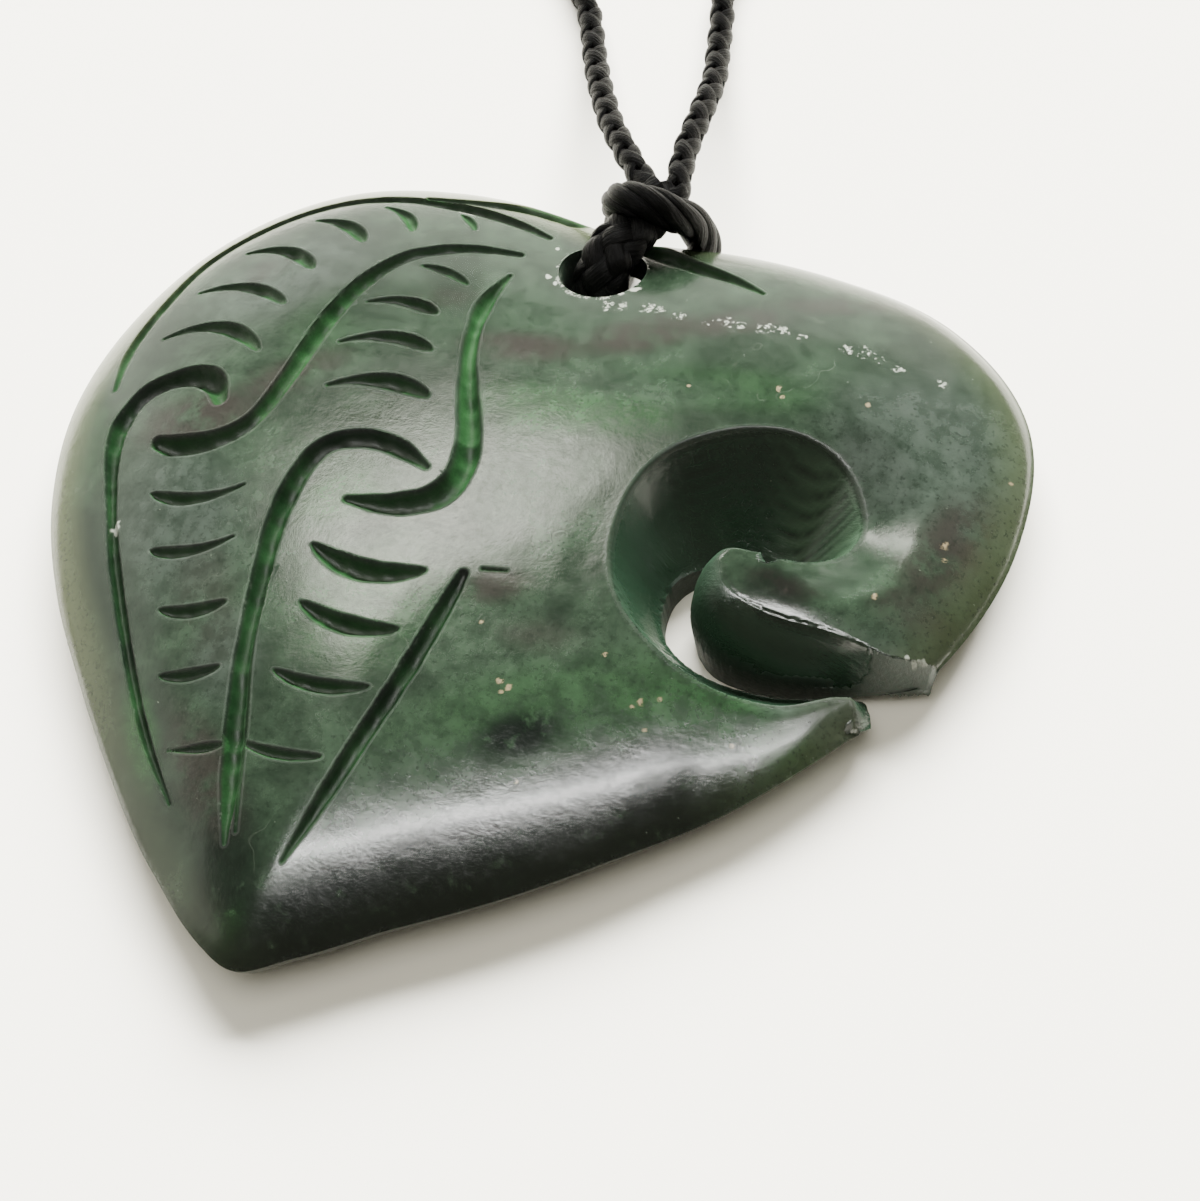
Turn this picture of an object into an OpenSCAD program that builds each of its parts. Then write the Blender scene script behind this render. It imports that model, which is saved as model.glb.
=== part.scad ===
// Carved greenstone heart pendant on a plaited neck cord, lying on its back.
// Origin at the middle of the flat spot on the stone's back, +Z out of the carved front,
// +Y up the heart from its point to its notch. Millimetres.

/* [Stone] */
// Thickness of the stone at its middle
stone_t = 7.6; // [6.5:0.1:9]
// Height of the front edge of the rim above the surface it lies on
rim_top = 2.6; // [2.2:0.1:3.2]
// Height of the back edge of the rim above the surface it lies on
rim_foot = 1.3; // [0.8:0.1:1.8]
// Extra lift of the rim under the notch, where the cord passes behind
notch_lift = 0.8; // [0.6:0.1:1.2]

/* [Cord hole] */
// Diameter of the drilled hole
hole_d = 5.7; // [5.4:0.1:6]
// Distance of the hole from the heart's middle line
hole_x = 0.3; // [0:0.1:0.6]
// Height of the hole up the heart
hole_y = 18.5; // [18.3:0.1:18.7]

/* [Scroll] */
// Height of the lip between the scroll's ramp and its slit
lip_z = 1.9; // [1.5:0.1:2.5]
// Height where the rolled inner head meets the slit
head_z = 2.5; // [2:0.1:3]
// How hollow the ramp is, 1 for a straight slope
ramp_hollow = 1.35; // [1:0.05:2]

/* [Engraving] */
// Depth of an engraved line as a share of its width
cut_depth = 0.5; // [0.35:0.01:0.6]

/* [Cord] */
// Diameter of the plaited cord
cord_d = 1.9; // [1.6:0.1:1.9]
// Length of the barrel knot that joins its ends
knot_l = 15; // [12:1:18]
// Diameter of the barrel knot
knot_d = 5; // [4:0.5:6]

/* [Hidden] */

sectors = 72;          // facets round the heart
cap_z = 14;            // height above the stone to which every cut is open
rest_share = 0.55;     // share of the outline that the flat spot on the back takes up
front_shares = [0.14, 0.34, 0.5, 0.64, 0.76, 0.86, 0.93, 0.975, 1]; // rings of the front
back_shares = [1, 0.88, 0.72, rest_share];                          // rings of the back
crown_power = 3;       // how flat the front is in the middle
crown_round = 0.8;     // how steeply it falls at the rim
lift_spread = 32;      // degrees either side of the notch over which the rim is lifted
slit_overlap = 0.3;    // how far the cuts beside the slit run into it
slit_drop = 0.15;      // how far they fall in doing so
ramp_shares = [0.35, 0.7]; // shares of the ramp's width at which its hollow is followed
head_roll = [[0.12, 0.48], [0.45, 0.84]]; // roll of the head: share of its width, share of its height
past_edge = 0.12;      // how far they run past the scroll's edges, as a share of their width
scroll_steps = 2;      // steps between two rows of the scroll's tables
burr_foot = 0.5;       // width of a cut's floor as a share of its width at the surface
burr_sides = 6;
burr_corners = 1.2;    // width over a burr's corners as a share of the width that it cuts
burr_clear = 0.2;      // height above the surface to which its taper goes on
burr_top = 1.3;        // height above the surface that it reaches
notch_bearing = 90;

// Outline of the heart: bearing from +X in degrees, radius from the origin
rim = [
  [0, 30.8], [15, 33.0], [30, 34.1], [45, 32.2], [60, 28.6], [75, 25.1], [83, 23.7], [90, 23.1],
  [97, 23.7], [105, 25.0], [120, 28.1], [135, 30.8], [150, 31.8], [165, 31.6], [180, 30.8],
  [195, 29.2], [210, 27.7], [225, 27.0], [240, 27.8], [255, 30.1], [265, 32.3], [270, 32.9],
  [275, 31.2], [285, 28.4], [300, 26.5], [315, 25.9], [330, 26.6], [345, 28.1], [360, 30.8]
];

// Scroll, from its mouth round to its eye: crisp ridge of the ramp x and y, lip of the ramp x and y
ramp = [
  [28.8, -7.6, 29.4, -7.1], [27.0, -5.6, 27.5, -5.0], [25.9, -5.6, 26.2, -4.5],
  [22.9, -7.5, 21.9, -5.8], [18.9, -8.2, 17.8, -5.9], [15.3, -7.2, 14.8, -4.8], [12.2, -5.1, 13.3, -2.9],
  [10.4, -2.0, 12.9, -0.8], [9.9, 2.2, 13.3, 1.7], [11.1, 5.8, 14.6, 3.7], [14.4, 8.6, 16.4, 4.9],
  [18.0, 9.6, 18.3, 5.1], [21.1, 8.7, 19.6, 4.4], [23.2, 6.0, 20.1, 3.5], [23.1, 3.6, 20.1, 2.6],
  [21.8, 1.9, 19.9, 1.9], [20.4, 0.9, 19.6, 1.3]
];

// Inner head of the scroll, from the mouth round to the eye: slit wall x and y, crest x and y
head = [
  [31.2, -1.5, 30.8, -0.9], [28.3, -2.7, 27.9, -2.1], [25.8, -3.7, 25.6, -2.2],
  [23.8, -4.4, 23.4, -2.2], [21.6, -4.9, 21.4, -2.2], [19.3, -5.0, 19.7, -2.1],
  [17.4, -4.7, 18.6, -1.8], [16.0, -3.8, 17.8, -1.4], [15.2, -2.6, 17.2, -1.0],
  [15.0, -1.2, 16.9, -0.6], [15.4, 0.0, 16.9, -0.2], [16.2, 0.8, 17.0, 0.1],
  [17.4, 0.9, 17.5, 0.4], [18.6, 0.9, 18.6, 0.6], [19.6, 1.3, 19.8, 1.0]
];

// Engraved lines, each a run of rows: x, y, width
rim_line = [[-27.5, 0.7, 0.3], [-28.4, 4, 0.8], [-28.3, 8, 0.85], [-27.3, 13, 0.8], [-24, 17.6, 0.8],
  [-20, 20.5, 0.85], [-15.5, 21.8, 1.0], [-11, 21.8, 1.15], [-7.5, 21.3, 0.9], [-4.5, 20.5, 0.4]];
notch_left = [[-15, 22.4, 0.3], [-11, 23.0, 0.9], [-7.5, 23.6, 1.5], [-4.2, 23.6, 2.0]];
notch_right = [[2.9, 21.8, 1.9], [6, 21.1, 1.3], [8.5, 20.7, 0.8], [11, 20, 0.3]];
left_hook = [[-18.8, 0.9, 1.1], [-19.8, 2.0, 1.7], [-21.2, 2.4, 1.9], [-23, 1.8, 1.7],
  [-24.6, 0.4, 1.6], [-25.1, -2, 1.6], [-24.4, -4.4, 1.2], [-22.4, -7.9, 0.8], [-20, -11.6, 0.9],
  [-16.1, -16.8, 0.8], [-12.1, -21.6, 0.7], [-8.1, -25.4, 0.25]];
s_line = [[-5.4, 18, 0.5], [-9, 17.4, 0.95], [-12.2, 15.7, 1.2], [-14, 12.8, 1.4], [-14.8, 9, 1.5],
  [-15, 3.5, 1.35], [-15.6, -0.2, 1.3], [-17.4, -2.2, 1.6], [-19.8, -3.1, 1.7], [-21.5, -3.1, 1.1]];
right_hook = [[-5, 15.8, 0.3], [-5.3, 12.9, 1.2], [-4.6, 9.5, 1.0], [-3.1, 6.1, 1.3],
  [-1.2, 2.4, 1.6], [-0.6, -0.3, 1.9], [-1.3, -2.3, 1.9], [-3.6, -3.6, 1.5], [-6.6, -4.1, 0.5]];
frond_stem = [[-2.8, -0.4, 0.5], [-5.2, 0.4, 1.3], [-7.6, 0.4, 1.4], [-9.7, -0.7, 1.4],
  [-10.4, -3, 1.5], [-10.2, -6.6, 1.4], [-9.2, -10.7, 1.3], [-7.7, -15.8, 1.3], [-6.2, -19.6, 1.5],
  [-4.8, -23.2, 1.4], [-3.4, -26.8, 0.3]];
stem_edge = [[-9.1, -10.4, 0.25], [-7.3, -15.6, 0.4], [-5.4, -20, 0.45], [-3.0, -26, 0.25]];
middle_line = [[2.9, -6.8, 0.7], [2.8, -9.5, 1.1], [2.5, -14, 1.2], [1.8, -19, 1.1],
  [1.2, -23, 0.9], [0.5, -26.8, 0.2]];
nick = [[3.9, -6.1, 0.3], [5.5, -5.7, 0.2]];
LINES = [rim_line, notch_left, notch_right, left_hook, s_line, right_hook, frond_stem, stem_edge,
  middle_line, nick];

// Short leaf cuts: start x, start y, end x, end y, rise of the bow, width
leaves = [
  [-26.1, 5.2, -18.2, 5.2, 1.4, 1.0], [-25.9, 9.6, -18.6, 9.4, 0.9, 0.8],
  [-24.5, 13.8, -18.4, 12.9, 0.9, 0.95], [-21.2, 17.9, -16.3, 16.2, 0.6, 0.85],
  [-17, 20.3, -13.6, 18.1, 0.5, 0.65], [-11.4, 20.9, -9.6, 19.5, 0.15, 0.45],
  [-11, 14.9, -7.2, 14.1, 0.3, 0.6], [-12.9, 10.8, -7.9, 11.1, 0.5, 0.85],
  [-13, 7.1, -6.7, 8.1, 0.75, 0.85], [-12, 3.6, -5.2, 4.6, 0.8, 1.1],
  [-19.7, -6.8, -13.5, -4.8, -0.8, 0.8], [-17.6, -10.6, -12.3, -8.4, -0.6, 0.75],
  [-14.9, -14.2, -10.6, -12.7, -0.45, 0.8], [-12.7, -18.2, -8.9, -16.8, -0.3, 0.7],
  [-9.8, -22.4, -6.3, -21.3, -0.15, 0.55], [-7, -7.7, 0.6, -7.3, -0.95, 1.35],
  [-5.8, -11.6, 0.9, -11.5, -0.65, 1.1], [-5.3, -16.2, 0.9, -15.5, -0.55, 0.8],
  [-5.2, -20.9, 0.2, -20.4, -0.35, 0.6]
];

cord_r = cord_d / 2;
lug_r = cord_r + 0.2;     // the cord is fuller where it bends into the hole
bight_r = cord_r + 0.03;
cord_z = cord_r + 0.02;  // height of the cord's middle where it lies on the surface
cord_sides = 8;
seat_top = 2 * bight_r + 0.2; // roof of the hollow behind the notch that the cord passes through

// Cord hitch: strands down the front into the hole, then behind the bar and over as the bight
lug_left = [[0.42, 25.0, 6.1], [0.1, 22.7, 6.1], [-0.4, 20.7, 6.15], [-0.8, 19.0, 5.6],
  [-0.9, 17.9, 4.1], [-0.9, 17.8, 2.4], [-0.9, 19.0, 1.2]];
lug_right = [[2.46, 25.0, 6.1], [2.07, 22.7, 6.1], [1.57, 20.7, 6.15], [1.17, 19.0, 5.6],
  [1.07, 17.9, 4.1], [1.07, 17.8, 2.4], [1.3, 19.0, 1.2]];
bight = [[-0.9, 19.0, 1.2], [-1.3, 22.5, 1.02], [-1.5, 24.4, 1.05], [-1.7, 25.0, 2.4],
  [-1.5, 24.8, 4.3], [-0.8, 23.9, 6.3], [0.4, 23.3, 7.5], [2.0, 23.3, 7.5], [3.3, 23.7, 6.5],
  [4.0, 24.6, 4.9], [4.2, 25.0, 2.6], [4.0, 24.6, 1.1], [3.6, 22.8, 1.02], [1.3, 19.0, 1.2]];

// Neck cord, as it lies: middle of the barrel knot and its turn, then the routes of the two
// strands from the hitch to the knot
knot_at = [-116.75, 271.45];
knot_turn = 25.4;
strand_gap = 0.03;        // gap between the end of a strand and what it runs into
knot_end = (knot_l / 2 + strand_gap) * [cos(knot_turn), sin(knot_turn)];
knot_lead = 3 * [cos(knot_turn), sin(knot_turn)];
left_route = [lug_left[0] + [0, strand_gap, 0], lug_left[0] + [0, 0.8, 0],
  [-0.9, 26.9, 6.0], [-3.0, 29.1, 5.5], [-5.5, 32.0, 4.5], [-8.3, 36.0, 3.1], [-10.2, 39.0, 2.1],
  [-12.5, 42.9, 1.25], [-14.6, 45.9, cord_z], [-22, 54, cord_z], [-34, 63, cord_z],
  [-58, 84, cord_z], [-87, 109, cord_z], [-113, 135, cord_z], [-137, 163, cord_z],
  [-151, 192, cord_z], [-155, 221, cord_z], [-148, 243, cord_z], [-139.5, 256, 1.1],
  [-132.5, 263.0, 1.85], concat(knot_at - knot_end - knot_lead, knot_d / 2),
  concat(knot_at - knot_end, knot_d / 2)];
right_route = [lug_right[0] + [0, strand_gap, 0], lug_right[0] + [0, 0.8, 0],
  [2.0, 27.3, 6.0], [1.1, 30.3, 5.3], [0.2, 34.5, 4.2], [-1.0, 39.2, 2.6], [-2.2, 42.4, 1.7],
  [-3.5, 46.0, 1.1], [-4.8, 50.0, cord_z], [-6.6, 62, cord_z], [-7.6, 76, cord_z],
  [-8, 108, cord_z], [-9, 146, cord_z], [-13, 183, cord_z], [-20, 218, cord_z],
  [-33, 248, cord_z], [-54, 269, cord_z], [-77, 278, cord_z], [-92, 279.5, 1.1],
  [-100.5, 278.2, 1.85], concat(knot_at + knot_end + knot_lead, knot_d / 2),
  concat(knot_at + knot_end, knot_d / 2)];

// Smooth curve through rows of any number of columns, with a number of steps between rows.
// A shift, as a share of a step, moves its points off the rows and leaves the last row out
function blend(p, i, t) =
  let(a = p[max(i - 1, 0)], b = p[i], c = p[i + 1], d = p[min(i + 2, len(p) - 1)])
  0.5 * (2 * b + (c - a) * t + (2 * a - 5 * b + 4 * c - d) * t ^ 2 + (3 * b - a - 3 * c + d) * t ^ 3);
function smooth(p, steps, shift = 0) =
  concat([for (i = [0:len(p) - 2]) for (k = [0:steps - 1]) blend(p, i, (k + shift) / steps)],
    shift > 0 ? [] : [p[len(p) - 1]]);

// Radius of the heart's outline at a bearing
function turned(bearing) = bearing - 360 * floor(bearing / 360);
function rim_row(i) = i < 0 ? rim[i + len(rim) - 1] - [360, 0]
  : i > len(rim) - 1 ? rim[i - len(rim) + 1] + [360, 0] : rim[i];
function rim_slope(i) = (rim_row(i + 1)[1] - rim_row(i - 1)[1]) / (rim_row(i + 1)[0] - rim_row(i - 1)[0]);
function rim_cubic(i, b) =
  let(p = rim[i], q = rim[i + 1], w = q[0] - p[0], t = (b - p[0]) / w)
  p[1] * (2 * t ^ 3 - 3 * t ^ 2 + 1) + w * rim_slope(i) * (t ^ 3 - 2 * t ^ 2 + t)
  + q[1] * (3 * t ^ 2 - 2 * t ^ 3) + w * rim_slope(i + 1) * (t ^ 3 - t ^ 2);
function rim_radius(bearing) =
  let(b = turned(bearing), i = len([for (r = rim) if (r[0] <= b) 1]) - 1)
  rim_cubic(min(i, len(rim) - 2), b);

// Lift of the rim near the notch, and the heights of the front and the back at a share of the outline
function rim_lift(bearing) = notch_lift * max(0, 1 - ((turned(bearing) - notch_bearing) / lift_spread) ^ 2) ^ 2;
function front_at(share, bearing) =
  let(lift = rim_lift(bearing))
  rim_top + lift + (stone_t - rim_top - lift) * max(0, 1 - share ^ crown_power) ^ crown_round;
function back_at(share, bearing) =
  (rim_foot + rim_lift(bearing)) * (max(0, share - rest_share) / (1 - rest_share)) ^ 2;
function front_z(x, y) =
  let(bearing = atan2(y, x)) front_at(min(1, norm([x, y]) / rim_radius(bearing)), bearing);

// Closed skin through rings with the same number of points each, clockwise along the way they go
module skin(rings) {
  n = len(rings[0]);
  m = len(rings);
  sides = [for (j = [0:m - 2]) for (i = [0:n - 1])
    let(a = j * n + i, b = j * n + (i + 1) % n)
    each [[a, b, b + n], [a, b + n, a + n]]];
  foot = [[for (i = [n - 1:-1:0]) i]];
  top = [[for (i = [0:n - 1]) (m - 1) * n + i]];
  polyhedron([for (r = rings) each r], concat(sides, foot, top), convexity = 6);
}

// Heart ring at a share of the outline, on the front or the back
function heart_ring(share, front) = [for (i = [0:sectors - 1])
  let(b = i * 360 / sectors, r = share * rim_radius(b))
  [r * cos(b), r * sin(b), front ? front_at(share, b) : back_at(share, b)]];

module heart_body() {
  skin(concat(
    [for (s = front_shares) heart_ring(s, true)],
    [for (s = back_shares) heart_ring(s, false)]));
}

// Floor of the ramp cut across the scroll, from inside the slit up the hollow slope past its ridge
function ramp_floor(r) =
  let(ridge = [r[0], r[1]], lip = [r[2], r[3]], out = front_z(r[0], r[1]),
    inside = lip + (lip - ridge) / norm(lip - ridge) * slit_overlap)
  concat([[inside[0], inside[1], lip_z - slit_drop]],
    [for (t = concat(ramp_shares, [1 + past_edge]))
      let(p = lip + (ridge - lip) * t) [p[0], p[1], lip_z + (out - lip_z) * t ^ ramp_hollow]]);

// Floor of the cut that rolls the inner head over to the slit, from the slit past its crest
function head_floor(r) =
  let(wall = [r[0], r[1]], crest = [r[2], r[3]], out = front_z(r[2], r[3]),
    inside = wall + (wall - crest) / norm(wall - crest) * slit_overlap,
    past = [1 + past_edge, 1 + past_edge * (1 - head_roll[1][1]) / (1 - head_roll[1][0])])
  concat([[inside[0], inside[1], head_z - slit_drop]],
    [for (s = concat(head_roll, [past]))
      let(p = wall + (crest - wall) * s[0]) [p[0], p[1], head_z + (out - head_z) * s[1]]]);

// Cut open above, over a floor given as rows of points across it
module open_cut(floors) {
  for (i = [0:len(floors) - 2]) for (j = [0:len(floors[0]) - 2])
    hull() {
      corners = [floors[i][j], floors[i][j + 1], floors[i + 1][j + 1], floors[i + 1][j]];
      polyhedron(concat(corners, [for (c = corners) [c[0], c[1], cap_z]]),
        [[0, 1, 2, 3], [7, 6, 5, 4], [0, 4, 5, 1], [1, 5, 6, 2], [2, 6, 7, 3], [3, 7, 4, 0]]);
    }
}

module scroll_cut() {
  open_cut([for (r = smooth(ramp, scroll_steps)) ramp_floor(r)]);
  open_cut([for (r = smooth(head, scroll_steps)) head_floor(r)]);
  lips = smooth(ramp, scroll_steps, 0.5);
  walls = smooth(head, scroll_steps, 0.5);
  translate([0, 0, -1])
    linear_extrude(cap_z + 1)
      polygon(concat([for (r = lips) [r[2], r[3]]],
        [for (i = [len(walls) - 1:-1:0]) [walls[i][0], walls[i][1]]]));
}

// Burr standing in the stone at a row of x, y and width, tapered at its foot
module burr(row) {
  deep = cut_depth * row[2];
  wide = burr_corners * row[2];
  top = wide * (1 + (1 - burr_foot) * burr_clear / deep);
  translate([row[0], row[1], front_z(row[0], row[1]) - deep]) {
    cylinder(d1 = burr_foot * wide, d2 = top, h = deep + burr_clear, $fn = burr_sides);
    cylinder(d = top, h = deep + burr_top, $fn = burr_sides);
  }
}

module engraved(rows) {
  for (i = [0:len(rows) - 2])
    hull() {
      burr(rows[i]);
      burr(rows[i + 1]);
    }
}

// Bowed leaf cut, widest in its middle
function leaf_rows(r) =
  let(a = [r[0], r[1]], b = [r[2], r[3]], along = b - a, side = [-along[1], along[0]] / norm(along))
  [for (t = [0, 0.25, 0.5, 0.75, 1])
    let(p = a + along * t + side * r[4] * 4 * t * (1 - t))
    [p[0], p[1], r[5] * (0.45 + 0.55 * (1 - (2 * t - 1) ^ 2))]];

module cord_seat() {
  hull()
    for (p = [[-0.6, hole_y], [1.4, hole_y], [-2.0, 25], [4.6, 25]])
      translate([p[0], p[1], -1])
        cylinder(d = cord_d + 0.6, h = seat_top + 1, $fn = 20);
}

module stone() {
  color([0.28, 0.4, 0.3])
    difference() {
      heart_body();
      scroll_cut();
      translate([hole_x, hole_y, -1])
        cylinder(d = hole_d, h = cap_z, $fn = 40);
      cord_seat();
      for (line = LINES) engraved(smooth(line, 2));
      for (leaf = leaves) engraved(leaf_rows(leaf));
    }
}

// Chain of short round lengths, for the tight turns of the hitch
module bent_cord(rows, r) {
  for (i = [0:len(rows) - 2])
    hull() {
      translate(rows[i]) sphere(r = r, $fn = cord_sides);
      translate(rows[i + 1]) sphere(r = r, $fn = cord_sides);
    }
}

// The chains end square where the neck cord's strands go on
module hitch() {
  color([0.16, 0.16, 0.17])
    difference() {
      union() {
        bent_cord(lug_left, lug_r);
        bent_cord(lug_right, lug_r);
        bent_cord(bight, bight_r);
      }
      translate(lug_left[0] - lug_r * [1, 0, 1])
        cube([lug_right[0][0] - lug_left[0][0] + 2 * lug_r, cord_d, 2 * lug_r]);
    }
}

// Ring of the round cord at a point of its route, square to the route
function cord_ring(p, along) =
  let(f = along / norm(along), s = [f[1], -f[0], 0] / norm([f[0], f[1]]), u = cross(s, f))
  [for (k = [0:cord_sides - 1])
    let(a = 360 * k / cord_sides) p + cord_r * (cos(a) * s + sin(a) * u)];

module laid_cord(route) {
  p = smooth(route, 3);
  last = len(p) - 1;
  skin([for (i = [0:last])
    cord_ring(p[i], i == 0 ? route[1] - route[0]
      : i == last ? route[len(route) - 1] - route[len(route) - 2]
      : p[i + 1] - p[i - 1])]);
}

module cord_left() { color([0.17, 0.17, 0.18]) laid_cord(left_route); }
module cord_right() { color([0.17, 0.17, 0.18]) laid_cord(right_route); }

module join_knot() {
  color([0.15, 0.15, 0.16])
    translate([knot_at[0], knot_at[1], knot_d / 2])
      rotate([0, 90, knot_turn])
        translate([0, 0, -knot_l / 2])
          cylinder(d = knot_d, h = knot_l, $fn = 32);
}

stone();
hitch();
cord_left();
cord_right();
join_knot();
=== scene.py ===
import bpy
import bmesh
import math
from mathutils import Matrix, Vector, kdtree, noise


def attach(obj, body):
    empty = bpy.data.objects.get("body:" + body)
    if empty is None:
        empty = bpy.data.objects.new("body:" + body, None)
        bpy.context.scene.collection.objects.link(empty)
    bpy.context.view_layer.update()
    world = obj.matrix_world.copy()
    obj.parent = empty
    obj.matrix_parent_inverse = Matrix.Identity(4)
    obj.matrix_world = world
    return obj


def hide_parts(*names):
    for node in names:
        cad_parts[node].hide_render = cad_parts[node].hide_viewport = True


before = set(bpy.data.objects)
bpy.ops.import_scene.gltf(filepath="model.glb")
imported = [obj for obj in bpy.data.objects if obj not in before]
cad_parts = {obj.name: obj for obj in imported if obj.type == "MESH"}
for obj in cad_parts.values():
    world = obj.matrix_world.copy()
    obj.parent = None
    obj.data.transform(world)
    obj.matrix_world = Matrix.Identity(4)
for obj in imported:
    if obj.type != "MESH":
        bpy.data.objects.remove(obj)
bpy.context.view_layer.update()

# everything below is worked out in millimetres and written to the meshes in metres
mm = 0.001


# camera as the picture was taken: above the lower right edge of the heart, tilted a little
view = {"azimuth": 37.7, "elevation": 55, "roll": -16, "target": (9.4, -3.15, 2.5), "far": 153, "lens": 75.7}


def addCamera():
    azimuth, elevation, roll = (math.radians(view[key]) for key in ("azimuth", "elevation", "roll"))
    back = Vector((math.sin(azimuth) * math.cos(elevation),
                   -math.cos(azimuth) * math.cos(elevation), math.sin(elevation)))
    side = Vector((math.cos(azimuth), math.sin(azimuth), 0))
    top = back.cross(side)
    right = side * math.cos(roll) + top * math.sin(roll)
    up = top * math.cos(roll) - side * math.sin(roll)
    data = bpy.data.cameras.new("camera")
    data.sensor_fit = "HORIZONTAL"
    data.sensor_width = 36
    data.lens = view["lens"]
    data.clip_start = 0.01
    data.clip_end = 20
    camera = bpy.data.objects.new("camera", data)
    bpy.context.scene.collection.objects.link(camera)
    turn = Matrix((right, up, back)).transposed().to_4x4()
    camera.matrix_world = Matrix.Translation((Vector(view["target"]) + back * view["far"]) * mm) @ turn
    bpy.context.scene.camera = camera


addCamera()
print("camera set")


# rows of any number of columns, smoothed, with a number of steps between two rows
def smoothRows(rows, steps):
    out = []
    last = len(rows) - 1
    for i in range(last):
        a, b, c, d = rows[max(i - 1, 0)], rows[i], rows[i + 1], rows[min(i + 2, last)]
        for k in range(steps):
            t = k / steps
            out.append([0.5 * (2 * q + (r - p) * t + (2 * p - 5 * q + 4 * r - s) * t ** 2
                               + (3 * q - p - 3 * r + s) * t ** 3) for p, q, r, s in zip(a, b, c, d)])
    out.append(list(rows[last]))
    return out


def clamp(value, low=0.0, high=1.0):
    return max(low, min(high, value))


def fade(value, low, high):
    t = clamp((value - low) / (high - low))
    return t * t * (3 - 2 * t)


def wobble(x, y, size, seed=0.0):
    return noise.noise(Vector((x / size, y / size, seed)))


def meshObject(name, vertices, faces, material, uvs=None):
    mesh = bpy.data.meshes.new(name)
    mesh.from_pydata([(x * mm, y * mm, z * mm) for x, y, z in vertices], [], faces)
    if uvs:
        layer = mesh.uv_layers.new(name="run")
        for loop in mesh.loops:
            layer.data[loop.index].uv = uvs[loop.vertex_index]
    mesh.materials.append(material)
    mesh.shade_smooth()
    obj = bpy.data.objects.new(name, mesh)
    bpy.context.scene.collection.objects.link(obj)
    return obj


def own(obj, node):
    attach(obj, "root")
    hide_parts(node)


# a shader node, with its inputs given as values or as sockets to link
def add(tree, kind, inputs=None, **settings):
    node = tree.nodes.new("ShaderNode" + kind)
    for key, value in settings.items():
        setattr(node, key, value)
    for key, value in (inputs or {}).items():
        if isinstance(value, bpy.types.NodeSocket):
            tree.links.new(value, node.inputs[key])
        else:
            node.inputs[key].default_value = value
    return node


def newGroup(name, inputs, outputs):
    group = bpy.data.node_groups.new(name, "ShaderNodeTree")
    for label, kind, value in inputs:
        socket = group.interface.new_socket(label, in_out="INPUT", socket_type="NodeSocket" + kind)
        if value is not None:
            socket.default_value = value
    for label, kind in outputs:
        group.interface.new_socket(label, in_out="OUTPUT", socket_type="NodeSocket" + kind)
    return group, group.nodes.new("NodeGroupInput").outputs, group.nodes.new("NodeGroupOutput").inputs


def useGroup(tree, group, inputs):
    return add(tree, "Group", inputs, node_tree=group)


def mixColor(tree, mask, first, second, blend="MIX"):
    node = tree.nodes.new("ShaderNodeMix")
    node.data_type = "RGBA"
    node.blend_type = blend
    for index, value in ((0, mask), (6, first), (7, second)):
        if isinstance(value, bpy.types.NodeSocket):
            tree.links.new(value, node.inputs[index])
        elif index:
            node.inputs[index].default_value = (*value, 1)
        else:
            node.inputs[index].default_value = value
    return node.outputs[2]


def math2(tree, operation, first, second=0.0, clamped=False):
    node = add(tree, "Math", {0: first, 1: second}, operation=operation, use_clamp=clamped)
    return node.outputs[0]


def times(tree, first, second, clamped=False):
    return math2(tree, "MULTIPLY", first, second, clamped)


# a base value plus any number of masks, each with its own weight
def weighted(tree, base, parts, clamped=False):
    value = base
    for mask, weight in parts:
        value = math2(tree, "ADD", value, times(tree, mask, weight), clamped)
    return value


# a new material with a Principled shader, its tree, and the object's own place in mm
def newMaterial(name, inputs):
    material = bpy.data.materials.new(name)
    material.use_nodes = True
    tree = material.node_tree
    tree.nodes.clear()
    shader = add(tree, "BsdfPrincipled", inputs)
    tree.links.new(shader.outputs[0], tree.nodes.new("ShaderNodeOutputMaterial").inputs["Surface"])
    place = add(tree, "VectorMath", {0: add(tree, "TexCoord").outputs["Object"],
                                     1: (1000, 1000, 1000)}, operation="MULTIPLY").outputs[0]
    return material, tree, shader, place


# clouds of noise with the edge of a mask at a level
def makeCloudGroup():
    group, given, out = newGroup("cloud mask", [("Place", "Vector", None), ("Size mm", "Float", 5.0),
                                                ("Detail", "Float", 4.0), ("Low", "Float", 0.4),
                                                ("High", "Float", 0.6)], [("Mask", "Float")])
    scale = math2(group, "DIVIDE", 1.0, given["Size mm"])
    cloud = add(group, "TexNoise", {"Vector": given["Place"], "Scale": scale, "Detail": given["Detail"],
                                    "Roughness": 0.6})
    level = add(group, "MapRange", {"Value": cloud.outputs["Fac"], "From Min": given["Low"],
                                    "From Max": given["High"]}, interpolation_type="SMOOTHSTEP")
    group.links.new(level.outputs["Result"], out["Mask"])
    return group


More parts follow.
